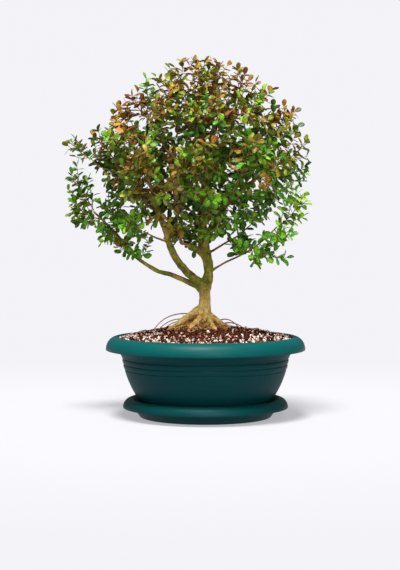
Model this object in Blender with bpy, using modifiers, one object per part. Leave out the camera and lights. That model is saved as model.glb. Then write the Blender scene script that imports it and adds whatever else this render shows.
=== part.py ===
"""A small-leaved bonsai in a round bowl pot, standing in its saucer.

Frame: metres, +Z up, +X to the right of someone who stands at -Y. The origin is the middle of the saucer's flat
underside. The tree's own points are measured from where its trunk leaves the soil.
"""

import math

import bmesh
import bpy
from mathutils import Vector
from mathutils.bvhtree import BVHTree
from mathutils.geometry import interpolate_bezier

GAP = 0.0003  # between two pieces that rest on each other
TURN_STEPS = 40  # facets round a turned piece

# Saucer
SAUCER_HEIGHT = 0.028
SAUCER_WALL = 0.0026
SAUCER_FLOOR_ROOM = 0.0145  # from the pot's foot out to the saucer's base corner
SAUCER_FLARE = 0.0135  # how far the wall leans out on its way up
SAUCER_LIP = 0.011  # width of the rolled rim
SAUCER_LIP_DROP = 0.0133  # how far the rolled rim hangs down
SAUCER_LIP_STEP = 0.001  # from the wall's inner edge up to the top of the rim

# Pot
POT_HEIGHT = 0.1181
POT_WALL = 0.0026
BOWL_RADIUS = 0.1256  # outside, just below the collar
BOWL_TAPER = 0.0095  # how much of the bowl's narrowing is straight
BOWL_BELLY = 0.0320  # how much of it is curved
FOOT_ROUNDING = 0.0045
COLLAR_FLARE = 0.0064  # how far the collar stands out of the bowl
COLLAR_HEIGHT = 0.0100
RIM_HEIGHT = 0.0195
RIM_OVERHANG = 0.0180  # how far the rolled rim stands out of the collar
LIP_WIDTH = 0.0030  # flat top of the rim
GROOVE_COUNT = 3
GROOVE_SPACING = 0.0082
GROOVE_WIDTH = 0.0016
GROOVE_DEPTH = 0.0009
DRAIN_RADIUS = 0.006
DRAIN_RING_RADIUS = 0.045
DRAIN_COUNT = 6

# Soil
SOIL_BELOW_RIM = 0.0040
SOIL_MOUND = 0.0180  # how far it rises to the trunk

# Tree. Each limb is a route of (x, y, height above the soil's crown, radius), and starts inside what it grows from.
TREE_SPREAD = 1.0
TREE_STRETCH = 1.0
TREE_GIRTH = 1.0
LIMB_STEP = 0.022  # length of one straight stretch of a limb
ROOT_STEP = 0.016
ROUNDNESS = ((0.0080, 3), (0.0050, 2), (0.0024, 1))  # the bevel resolution of wood thicker than each radius

TRUNK = [
    (-0.0015, 0.000, -0.038, 0.0125),
    (-0.0012, 0.000, -0.008, 0.0125),
    (-0.0010, 0.000, 0.010, 0.0107),
    (-0.0012, 0.000, 0.025, 0.0093),
    (-0.0008, 0.000, 0.041, 0.0088),
    (-0.0012, 0.000, 0.055, 0.0094),
    (0.0020, 0.000, 0.068, 0.0086),
    (0.0045, 0.001, 0.081, 0.0076),
    (0.0038, 0.002, 0.098, 0.0080),
    (-0.0020, 0.003, 0.115, 0.0095),
    (-0.0044, 0.004, 0.135, 0.0080),
    (-0.0048, 0.005, 0.160, 0.0064),
    (-0.0044, 0.006, 0.192, 0.0056),
    (-0.0005, 0.006, 0.230, 0.0048),
    (-0.0040, 0.004, 0.270, 0.0040),
    (-0.0060, 0.002, 0.310, 0.0031),
    (-0.0080, 0.000, 0.348, 0.0022),
]

LIMBS = {
    "left_limb": [
        (-0.0010, 0.000, 0.0550, 0.0078),
        (-0.0110, -0.001, 0.0685, 0.0070),
        (-0.0248, -0.004, 0.0795, 0.0062),
        (-0.0380, -0.008, 0.0940, 0.0058),
        (-0.0480, -0.013, 0.1100, 0.0055),
        (-0.0555, -0.018, 0.1290, 0.0052),
        (-0.0600, -0.023, 0.1470, 0.0050),
        (-0.0669, -0.028, 0.1645, 0.0047),
        (-0.0744, -0.033, 0.1850, 0.0043),
        (-0.0864, -0.038, 0.2000, 0.0038),
        (-0.1014, -0.043, 0.2120, 0.0033),
        (-0.1180, -0.047, 0.2250, 0.0027),
        (-0.1330, -0.048, 0.2430, 0.0020),
    ],
    "low_left_limb": [
        (-0.0040, 0.001, 0.0530, 0.0055),
        (-0.0180, 0.005, 0.0635, 0.0045),
        (-0.0343, 0.011, 0.0710, 0.0041),
        (-0.0541, 0.018, 0.0786, 0.0038),
        (-0.0717, 0.024, 0.0825, 0.0035),
        (-0.0894, 0.030, 0.0923, 0.0032),
        (-0.1065, 0.035, 0.1048, 0.0029),
        (-0.1214, 0.039, 0.1210, 0.0026),
        (-0.1364, 0.041, 0.1398, 0.0023),
        (-0.1563, 0.041, 0.1596, 0.0019),
        (-0.1713, 0.040, 0.1740, 0.0016),
    ],
    "right_limb": [
        (-0.0030, 0.003, 0.121, 0.0066),
        (0.0060, 0.000, 0.144, 0.0055),
        (0.0160, -0.006, 0.163, 0.0050),
        (0.0320, -0.014, 0.185, 0.0044),
        (0.0500, -0.022, 0.200, 0.0038),
        (0.0640, -0.028, 0.213, 0.0033),
        (0.0800, -0.033, 0.227, 0.0027),
        (0.0980, -0.035, 0.240, 0.0020),
    ],
    "upper_right_limb": [
        (-0.0030, 0.006, 0.210, 0.0046),
        (0.0110, 0.004, 0.233, 0.0041),
        (0.0215, 0.002, 0.255, 0.0038),
        (0.0270, -0.002, 0.283, 0.0033),
        (0.0370, -0.005, 0.305, 0.0027),
        (0.0480, -0.006, 0.327, 0.0020),
    ],
    "far_right_limb": [
        (0.0060, 0.005, 0.225, 0.0038),
        (0.0380, 0.018, 0.255, 0.0033),
        (0.0680, 0.028, 0.275, 0.0026),
        (0.0950, 0.032, 0.295, 0.0018),
    ],
    "upper_left_limb": [
        (-0.0046, 0.006, 0.185, 0.0048),
        (-0.0220, 0.006, 0.213, 0.0042),
        (-0.0430, 0.000, 0.243, 0.0036),
        (-0.0620, -0.006, 0.273, 0.0030),
        (-0.0780, -0.012, 0.301, 0.0024),
        (-0.0880, -0.014, 0.321, 0.0018),
    ],
    "far_left_limb": [
        (-0.0400, 0.001, 0.239, 0.0030),
        (-0.0700, 0.018, 0.257, 0.0027),
        (-0.1000, 0.030, 0.280, 0.0022),
        (-0.1200, 0.034, 0.305, 0.0016),
    ],
    "crown_limb": [
        (-0.0050, 0.003, 0.290, 0.0030),
        (-0.0180, -0.004, 0.310, 0.0025),
        (-0.0275, -0.010, 0.330, 0.0018),
    ],
    "front_limb": [
        (-0.0048, 0.005, 0.165, 0.0044),
        (-0.0090, -0.026, 0.190, 0.0037),
        (-0.0130, -0.056, 0.213, 0.0028),
        (-0.0150, -0.082, 0.235, 0.0018),
    ],
    "front_left_limb": [
        (-0.0744, -0.033, 0.185, 0.0034),
        (-0.0800, -0.062, 0.208, 0.0027),
        (-0.0860, -0.090, 0.230, 0.0018),
    ],
    "front_right_limb": [
        (0.0320, -0.014, 0.185, 0.0034),
        (0.0460, -0.048, 0.211, 0.0027),
        (0.0560, -0.078, 0.238, 0.0018),
    ],
    "front_upper_limb": [
        (-0.0005, 0.006, 0.230, 0.0036),
        (0.0040, -0.025, 0.263, 0.0028),
        (0.0100, -0.052, 0.295, 0.0018),
    ],
    "back_limb": [
        (-0.0046, 0.005, 0.153, 0.0044),
        (0.0000, 0.034, 0.181, 0.0036),
        (0.0040, 0.064, 0.208, 0.0028),
        (0.0060, 0.090, 0.235, 0.0018),
    ],
    "back_left_limb": [
        (-0.0600, -0.023, 0.147, 0.0034),
        (-0.0700, 0.016, 0.177, 0.0028),
        (-0.0800, 0.052, 0.205, 0.0022),
        (-0.0880, 0.077, 0.228, 0.0016),
    ],
    "back_right_limb": [
        (0.0160, -0.006, 0.163, 0.0036),
        (0.0380, 0.028, 0.189, 0.0029),
        (0.0600, 0.056, 0.215, 0.0022),
        (0.0750, 0.076, 0.238, 0.0016),
    ],
    "back_upper_limb": [
        (-0.0030, 0.004, 0.250, 0.0034),
        (-0.0100, 0.030, 0.281, 0.0027),
        (-0.0140, 0.057, 0.311, 0.0018),
    ],
    "low_right_twig": [
        (0.0042, 0.001, 0.0800, 0.0030),
        (0.0131, -0.004, 0.0875, 0.0021),
        (0.0305, -0.014, 0.0980, 0.0018),
        (0.0613, -0.026, 0.1130, 0.0016),
        (0.0880, -0.034, 0.1330, 0.0014),
        (0.1060, -0.036, 0.1510, 0.0012),
    ],
    "mid_right_twig": [
        (0.0000, 0.003, 0.1090, 0.0028),
        (0.0120, 0.007, 0.1150, 0.0020),
        (0.0300, 0.018, 0.1260, 0.0017),
        (0.0503, 0.030, 0.1370, 0.0015),
        (0.0700, 0.038, 0.1540, 0.0012),
    ],
    "inner_left_twig": [
        (-0.0010, 0.003, 0.1070, 0.0060),
        (-0.0130, 0.001, 0.1170, 0.0045),
        (-0.0260, -0.002, 0.1225, 0.0030),
        (-0.0370, -0.006, 0.1270, 0.0016),
    ],
    "left_twig": [
        (-0.0560, -0.018, 0.1280, 0.0022),
        (-0.0740, -0.034, 0.1345, 0.0017),
        (-0.0920, -0.046, 0.1440, 0.0013),
    ],
    "lone_twig": [
        (-0.1180, -0.047, 0.2250, 0.0021),
        (-0.1400, -0.042, 0.2330, 0.0017),
        (-0.1588, -0.036, 0.2400, 0.0014),
        (-0.1700, -0.032, 0.2520, 0.0012),
    ],
}

# Roots dive into the soil, so only their backs show. Hair roots arch over it.
ROOTS = {
    "left_root": [
        (-0.0040, 0.000, 0.033, 0.0056),
        (-0.0180, -0.004, 0.021, 0.0056),
        (-0.0340, -0.008, 0.010, 0.0050),
        (-0.0520, -0.012, -0.002, 0.0040),
        (-0.0680, -0.016, -0.016, 0.0026),
    ],
    "right_root": [
        (0.0030, -0.001, 0.021, 0.0052),
        (0.0150, -0.006, 0.011, 0.0053),
        (0.0300, -0.012, 0.001, 0.0043),
        (0.0460, -0.018, -0.014, 0.0028),
    ],
    "front_left_root": [
        (-0.0030, -0.003, 0.021, 0.0052),
        (-0.0120, -0.018, 0.010, 0.0050),
        (-0.0220, -0.034, 0.000, 0.0040),
        (-0.0300, -0.050, -0.014, 0.0026),
    ],
    "front_right_root": [
        (0.0020, -0.003, 0.017, 0.0048),
        (0.0080, -0.020, 0.008, 0.0045),
        (0.0140, -0.036, -0.002, 0.0036),
        (0.0180, -0.052, -0.015, 0.0024),
    ],
    "back_right_root": [
        (0.0000, 0.003, 0.021, 0.0052),
        (0.0060, 0.020, 0.010, 0.0048),
        (0.0130, 0.038, -0.001, 0.0038),
        (0.0180, 0.054, -0.014, 0.0025),
    ],
    "back_left_root": [
        (-0.0030, 0.003, 0.023, 0.0052),
        (-0.0180, 0.016, 0.011, 0.0048),
        (-0.0330, 0.028, 0.001, 0.0038),
        (-0.0480, 0.040, -0.014, 0.0025),
    ],
    "left_hair_root": [
        (-0.0300, -0.0070, 0.0130, 0.0009),
        (-0.0360, -0.0090, 0.0215, 0.0008),
        (-0.0530, -0.0120, 0.0200, 0.0007),
        (-0.0680, -0.0140, 0.0100, 0.0007),
        (-0.0800, -0.0150, -0.0080, 0.0007),
    ],
    "small_hair_root": [
        (-0.0420, -0.0100, 0.0050, 0.0008),
        (-0.0480, -0.0150, 0.0110, 0.0007),
        (-0.0580, -0.0200, 0.0080, 0.0007),
        (-0.0650, -0.0230, -0.0080, 0.0007),
    ],
}

# Leafy shoots: the point that each one's last leaves reach, on the limb that carries it. A limb's first shoot carries
# on from the limb's end.
SHOOTS = {
    "trunk": [
        (-0.0090, 0.000, 0.404),
        (0.0300, 0.004, 0.392),
        (0.0040, -0.036, 0.376),
        (-0.0040, 0.036, 0.372),
        (0.0240, 0.034, 0.166),
        (-0.0240, -0.024, 0.168),
    ],
    "crown_limb": [(-0.0420, -0.014, 0.392), (-0.0650, -0.012, 0.371)],
    "upper_left_limb": [(-0.0810, -0.014, 0.372), (-0.1130, -0.040, 0.338), (-0.0520, -0.046, 0.330)],
    "far_left_limb": [(-0.1300, 0.036, 0.337), (-0.1460, 0.050, 0.304)],
    "left_limb": [
        (-0.1560, -0.055, 0.286),
        (-0.1260, -0.080, 0.288),
        (-0.1660, -0.010, 0.262),
        (-0.1120, -0.086, 0.196),
    ],
    "lone_twig": [(-0.2060, -0.024, 0.274)],
    "low_left_limb": [
        (-0.1985, 0.034, 0.237),
        (-0.2030, 0.014, 0.178),
        (-0.2000, 0.054, 0.154),
        (-0.1560, 0.022, 0.136),
        (-0.1250, 0.064, 0.118),
        (-0.1380, 0.012, 0.188),
    ],
    "left_twig": [(-0.1240, -0.056, 0.160)],
    "inner_left_twig": [(-0.0560, -0.012, 0.152)],
    "front_left_limb": [(-0.0920, -0.124, 0.262), (-0.1200, -0.098, 0.232)],
    "front_limb": [(-0.0170, -0.118, 0.266), (-0.0460, -0.076, 0.232), (0.0200, -0.080, 0.234)],
    "front_right_limb": [(0.0640, -0.112, 0.270), (0.0920, -0.086, 0.262)],
    "front_upper_limb": [(0.0160, -0.084, 0.336), (-0.0280, -0.060, 0.320), (0.0460, -0.050, 0.322)],
    "back_limb": [(0.0080, 0.122, 0.268), (-0.0320, 0.088, 0.254)],
    "back_left_limb": [(-0.0940, 0.106, 0.262)],
    "back_right_limb": [(0.0880, 0.104, 0.272), (0.1060, 0.064, 0.244)],
    "back_upper_limb": [(-0.0180, 0.086, 0.350), (-0.0540, 0.056, 0.322)],
    "upper_right_limb": [(0.0520, -0.006, 0.382), (0.0930, -0.034, 0.345)],
    "far_right_limb": [(0.1330, 0.034, 0.333), (0.1430, 0.006, 0.292)],
    "right_limb": [
        (0.1500, -0.034, 0.263),
        (0.1500, -0.008, 0.228),
        (0.1180, -0.074, 0.240),
        (0.1180, -0.048, 0.194),
    ],
    "low_right_twig": [(0.1500, -0.032, 0.190), (0.1180, -0.066, 0.133), (0.0840, -0.060, 0.100)],
    "mid_right_twig": [(0.0960, 0.048, 0.198), (0.0600, 0.046, 0.116)],
}

SHOOT_LENGTH = 0.050  # the leafy part
SHOOT_RADIUS = 0.0010
TWIG_RADIUS = 0.0015  # of the bare foot of a shoot, where it leaves its limb
SHORTEST_FOOT = 0.008  # bare wood between the limb's middle and the leafy part
LEAVES_AT_NODES = ((0, 2), (0, 1, 2, 3), (1, 3))  # the sides of the square twig that carry a leaf, node by node
LEAF_NODE = 0.0012  # length of twig that a pair of leaves grows from
LEAF_LENGTH = 0.0145
LEAF_WIDTH = 0.0092
LEAF_THICKNESS = 0.0008
LEAF_ANGLE = math.radians(58)  # between a leaf and its twig
TIP_LEAF_ANGLE = math.radians(34)
LEAF_CLEARANCE = 0.0006

MATERIALS = {
    "pot_plastic": ((0.012, 0.075, 0.070), 0.38),
    "saucer_plastic": ((0.014, 0.085, 0.085), 0.38),
    "soil": ((0.115, 0.052, 0.032), 0.95),
    "bark": ((0.300, 0.190, 0.070), 0.80),
    "leaf": ((0.055, 0.150, 0.020), 0.45),
}

POT_BASE_Z = SAUCER_WALL + GAP
POT_TOP_Z = POT_BASE_Z + POT_HEIGHT
RIM_FOOT_Z = POT_TOP_Z - RIM_HEIGHT
COLLAR_FOOT_Z = RIM_FOOT_Z - COLLAR_HEIGHT
COLLAR_RADIUS = BOWL_RADIUS + COLLAR_FLARE
FOOT_RADIUS = BOWL_RADIUS - BOWL_TAPER - BOWL_BELLY
SOIL_EDGE_Z = POT_TOP_Z - SOIL_BELOW_RIM
SOIL_CROWN_Z = SOIL_EDGE_Z + SOIL_MOUND


def clear_scene():
    for item in list(bpy.data.objects):
        bpy.data.objects.remove(item, do_unlink=True)


def new_collection(name):
    collection = bpy.data.collections.new(name)
    bpy.context.scene.collection.children.link(collection)
    return collection


def make_material(name):
    colour, roughness = MATERIALS[name]
    material = bpy.data.materials.new(name)
    material.use_nodes = True
    shader = material.node_tree.nodes["Principled BSDF"]
    shader.inputs["Base Color"].default_value = (*colour, 1)
    shader.inputs["Roughness"].default_value = roughness
    return material


def add_object(name, mesh, collection, material=None):
    item = bpy.data.objects.new(name, mesh)
    collection.objects.link(item)
    if material:
        mesh.materials.append(material)
    return item


def as_helper(item):
    item.hide_render = True
    item.display_type = "WIRE"


def turned(name, profile, collection, material):
    """A solid of revolution: the profile is (radius, z) points that run down its outer side."""
    mesh = bpy.data.meshes.new(name)
    points = [(radius, 0, z) for radius, z in profile]
    mesh.from_pydata(points, [(i, i + 1) for i in range(len(points) - 1)], [])
    item = add_object(name, mesh, collection, material)
    screw = item.modifiers.new("turn", "SCREW")
    screw.axis = "Z"
    screw.steps = TURN_STEPS
    screw.render_steps = TURN_STEPS
    screw.use_merge_vertices = True
    screw.merge_threshold = 0.00001
    screw.use_smooth_shade = True
    return item


def quarter_ellipse(middle, width, height, start, stop, steps):
    """Points on an ellipse about middle, from angle start to stop in degrees: 0 is its outer end, 90 its top."""
    angles = [math.radians(start + (stop - start) * i / steps) for i in range(steps + 1)]
    return [(middle[0] + width * math.cos(a), middle[1] + height * math.sin(a)) for a in angles]


def make_saucer(collection, material):
    base_radius = FOOT_RADIUS + SAUCER_FLOOR_ROOM
    top_radius = base_radius + SAUCER_FLARE
    lip_foot_z = SAUCER_HEIGHT - SAUCER_LIP_DROP
    outer_width = SAUCER_LIP + SAUCER_WALL / 2
    outer_lip = quarter_ellipse((top_radius, lip_foot_z), outer_width, SAUCER_LIP_DROP, 90, 0, 4)
    inner_lip = quarter_ellipse(
        (top_radius, lip_foot_z), SAUCER_LIP - SAUCER_WALL / 2, SAUCER_LIP_DROP - SAUCER_WALL, 0, 60, 2
    )
    profile = [(0, SAUCER_WALL), (base_radius - 3 * SAUCER_WALL, SAUCER_WALL)]
    profile += [(base_radius - SAUCER_WALL / 2, 2.5 * SAUCER_WALL)]
    profile += [(top_radius - SAUCER_WALL, SAUCER_HEIGHT - SAUCER_LIP_STEP)]
    profile += outer_lip + inner_lip
    profile += [(base_radius + SAUCER_FLARE / 3, lip_foot_z - 0.004), (base_radius, 0.0015)]
    profile += [(base_radius - 0.0015, 0), (0, 0)]
    return turned("saucer", profile, collection, material)


def bowl_radius(z):
    """Radius of the bowl's outer wall at height z, from its foot up to the collar."""
    drop = (COLLAR_FOOT_Z - z) / (COLLAR_FOOT_Z - POT_BASE_Z)
    return BOWL_RADIUS - BOWL_TAPER * drop - BOWL_BELLY * drop**2


def bowl_heights(steps):
    """Heights up the bowl's wall, from above the foot's rounding to the collar, closer near the foot."""
    low = POT_BASE_Z + FOOT_ROUNDING
    return [low + (COLLAR_FOOT_Z - low) * (i / steps) ** 1.3 for i in range(steps + 1)]


def pot_inside():
    """The pot's inner wall as (radius, z) points, from the middle of its floor up to the lip."""
    floor_z = POT_BASE_Z + POT_WALL
    points = [(0, floor_z), (bowl_radius(POT_BASE_Z) - POT_WALL - 0.002, floor_z)]
    points += [(bowl_radius(z) - POT_WALL, z + POT_WALL / 2) for z in bowl_heights(5)]
    points += [(COLLAR_RADIUS - POT_WALL, RIM_FOOT_Z - 0.004), (COLLAR_RADIUS - 0.001, POT_TOP_Z - 0.003)]
    return points


def pot_outside():
    """The bowl's outer wall as (radius, z) points, from the collar down to the middle of its underside."""
    points = [(COLLAR_RADIUS, RIM_FOOT_Z - 0.003), (COLLAR_RADIUS - 0.0045, COLLAR_FOOT_Z + 0.0005)]
    groove_levels = [COLLAR_FOOT_Z - GROOVE_SPACING * (i + 0.4) for i in range(GROOVE_COUNT)]
    for z in groove_levels:
        half = GROOVE_WIDTH / 2
        points += [(bowl_radius(z + half), z + half), (bowl_radius(z) - GROOVE_DEPTH, z)]
        points += [(bowl_radius(z - half), z - half)]
    below = [z for z in bowl_heights(6) if z < groove_levels[-1] - GROOVE_WIDTH]
    points += [(bowl_radius(z), z) for z in reversed(below)]
    points += [(bowl_radius(POT_BASE_Z) - 0.001, POT_BASE_Z + 0.001), (FOOT_RADIUS - 0.004, POT_BASE_Z)]
    return points + [(0, POT_BASE_Z)]


def make_pot(collection, helpers, material):
    rim_middle = (COLLAR_RADIUS + LIP_WIDTH, RIM_FOOT_Z)
    rim_width = RIM_OVERHANG - LIP_WIDTH
    outer_rim = quarter_ellipse(rim_middle, rim_width, RIM_HEIGHT, 90, 0, 5)
    inner_rim = quarter_ellipse(rim_middle, rim_width - POT_WALL, RIM_HEIGHT - POT_WALL, 0, 72, 3)
    profile = pot_inside() + [(COLLAR_RADIUS + 0.001, POT_TOP_Z - 0.0006)] + outer_rim + inner_rim
    profile += [(COLLAR_RADIUS + 0.0006, POT_TOP_Z - POT_WALL - 0.003)] + pot_outside()
    pot = turned("pot", profile, collection, material)
    for index in range(DRAIN_COUNT + 1):
        angle = math.tau * index / DRAIN_COUNT
        reach = 0 if index == DRAIN_COUNT else DRAIN_RING_RADIUS
        mesh = bpy.data.meshes.new("drain_cutter")
        cutter = bmesh.new()
        bmesh.ops.create_cone(
            cutter, cap_ends=True, segments=8, radius1=DRAIN_RADIUS, radius2=DRAIN_RADIUS, depth=4 * POT_WALL
        )
        cutter.to_mesh(mesh)
        cutter.free()
        item = add_object(f"drain_cutter_{index + 1}", mesh, helpers)
        item.location = (reach * math.cos(angle), reach * math.sin(angle), POT_BASE_Z + POT_WALL / 2)
        as_helper(item)
    drill = pot.modifiers.new("drain_holes", "BOOLEAN")
    drill.operation = "DIFFERENCE"
    drill.operand_type = "COLLECTION"
    drill.collection = helpers
    drill.solver = "EXACT"
    return pot


def make_soil(collection, root_hollows, material):
    """The soil fills the pot, a gap inside its wall, and mounds up to the trunk."""
    wall = [(radius - GAP, z) for radius, z in pot_inside()[2:] if z < SOIL_EDGE_Z]
    low, high = pot_inside()[-2:]
    share = (SOIL_EDGE_Z - low[1]) / (high[1] - low[1])
    edge_radius = low[0] + share * (high[0] - low[0]) - GAP
    floor_radius, floor_z = pot_inside()[1]
    mound = []
    steps = 4
    for index in range(steps):
        reach = index / steps
        mound.append((edge_radius * reach, SOIL_EDGE_Z + SOIL_MOUND * (1 - reach**2)))
    profile = mound + [(edge_radius, SOIL_EDGE_Z)] + wall[::-1]
    profile += [(floor_radius - GAP, floor_z + GAP), (0, floor_z + GAP)]
    soil = turned("soil", profile, collection, material)
    hollow = soil.modifiers.new("root_hollow", "BOOLEAN")
    hollow.operation = "DIFFERENCE"
    hollow.operand_type = "COLLECTION"
    hollow.collection = root_hollows
    hollow.solver = "EXACT"
    return soil


def place(x, y, z):
    """A point of the tree, measured from where the trunk leaves the soil, in the part's frame."""
    stretch = TREE_STRETCH if z > 0 else 1
    return Vector((x * TREE_SPREAD, y * TREE_SPREAD, SOIL_CROWN_Z + z * stretch))


def smooth_route(stations, step):
    """(point, radius) pairs about step apart on a smooth curve through the stations of a limb."""
    points = [place(*station[:3]) for station in stations]
    radii = [station[3] * TREE_GIRTH for station in stations]
    last = len(points) - 1
    slopes = [(points[min(i + 1, last)] - points[max(i - 1, 0)]) / 2 for i in range(last + 1)]
    route = []
    for i in range(last):
        pieces = max(1, round((points[i + 1] - points[i]).length / step))
        stretch = interpolate_bezier(
            points[i], points[i] + slopes[i] / 3, points[i + 1] - slopes[i + 1] / 3, points[i + 1], pieces + 1
        )
        for k in range(pieces):
            share = k / pieces
            route.append((stretch[k], radii[i] * (1 - share) + radii[i + 1] * share))
    return route + [(points[-1], radii[-1])]


def roundness(route):
    """The bevel resolution that suits a route's thickness."""
    thickest = max(radius for _, radius in route)
    return next((sides for radius, sides in ROUNDNESS if thickest > radius), 0)


def make_tube(name, route, collection, sides=None):
    """A tapered tube with closed ends along (point, radius) pairs, as a mesh object."""
    curve = bpy.data.curves.new(name, "CURVE")
    curve.dimensions = "3D"
    curve.bevel_depth = 1
    curve.bevel_resolution = roundness(route) if sides is None else sides
    curve.use_fill_caps = True
    spline = curve.splines.new("POLY")
    spline.points.add(len(route) - 1)
    for target, (point, radius) in zip(spline.points, route):
        target.co = (*point, 1)
        target.radius = radius
    guide = bpy.data.objects.new(name + "_guide", curve)
    collection.objects.link(guide)
    bpy.context.view_layer.update()
    mesh = bpy.data.meshes.new_from_object(guide.evaluated_get(bpy.context.evaluated_depsgraph_get()))
    bpy.data.objects.remove(guide)
    weld = bmesh.new()
    weld.from_mesh(mesh)
    bmesh.ops.remove_doubles(weld, verts=weld.verts, dist=0.000001)
    bmesh.ops.recalc_face_normals(weld, faces=weld.faces)
    weld.to_mesh(mesh)
    weld.free()
    tube = add_object(name, mesh, collection)
    as_helper(tube)
    return tube


def lengths_along(points):
    """How far along the route each point lies."""
    total = [0.0]
    for before, after in zip(points, points[1:]):
        total.append(total[-1] + (after - before).length)
    return total


def at_length(points, reach):
    """(point, direction) at that distance along the route."""
    for before, after in zip(points, points[1:]):
        stretch = after - before
        if reach <= stretch.length:
            return before + stretch.normalized() * reach, stretch.normalized()
        reach -= stretch.length
    return points[-1], (points[-1] - points[-2]).normalized()


def plan_shoot(limb_route, reach_to, carries_on):
    """The bare foot and the leafy part of a shoot: two lists of points, and the radius it starts with."""
    points = [point for point, _ in limb_route]
    radii = [radius for _, radius in limb_route]
    nearest = min(range(len(points)), key=lambda i: (points[i] - reach_to).length)
    tip = reach_to - (reach_to - points[nearest]).normalized() * LEAF_LENGTH * math.cos(TIP_LEAF_ANGLE)
    if carries_on:
        heading = (points[-1] - points[-2]).normalized()
        start = points[-1] + heading * GAP
        bend = heading * (tip - start).length * 0.45
        return [], interpolate_bezier(start, start + bend, tip - (tip - start) * 0.3, tip, 24), radii[-1]
    along = lengths_along(points)
    reach = max(along[nearest] - 0.7 * (points[nearest] - tip).length, 0.3 * along[nearest])
    start, heading = at_length(points, reach)
    index = min(range(len(points)), key=lambda i: abs(along[i] - reach))
    bend = heading * (tip - start).length * 0.12
    route = interpolate_bezier(start, start + bend, tip - (tip - start) * 0.3, tip, 40)
    foot_length = max(lengths_along(route)[-1] - SHOOT_LENGTH, SHORTEST_FOOT + radii[index])
    total = lengths_along(route)[-1]
    foot = [at_length(route, foot_length * i / 2)[0] for i in range(3)]
    leafy_from = foot_length + GAP
    leafy = [at_length(route, leafy_from + (total - leafy_from) * i / 24)[0] for i in range(25)]
    return foot, leafy, min(TWIG_RADIUS, 0.8 * radii[index]) * TREE_GIRTH


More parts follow.
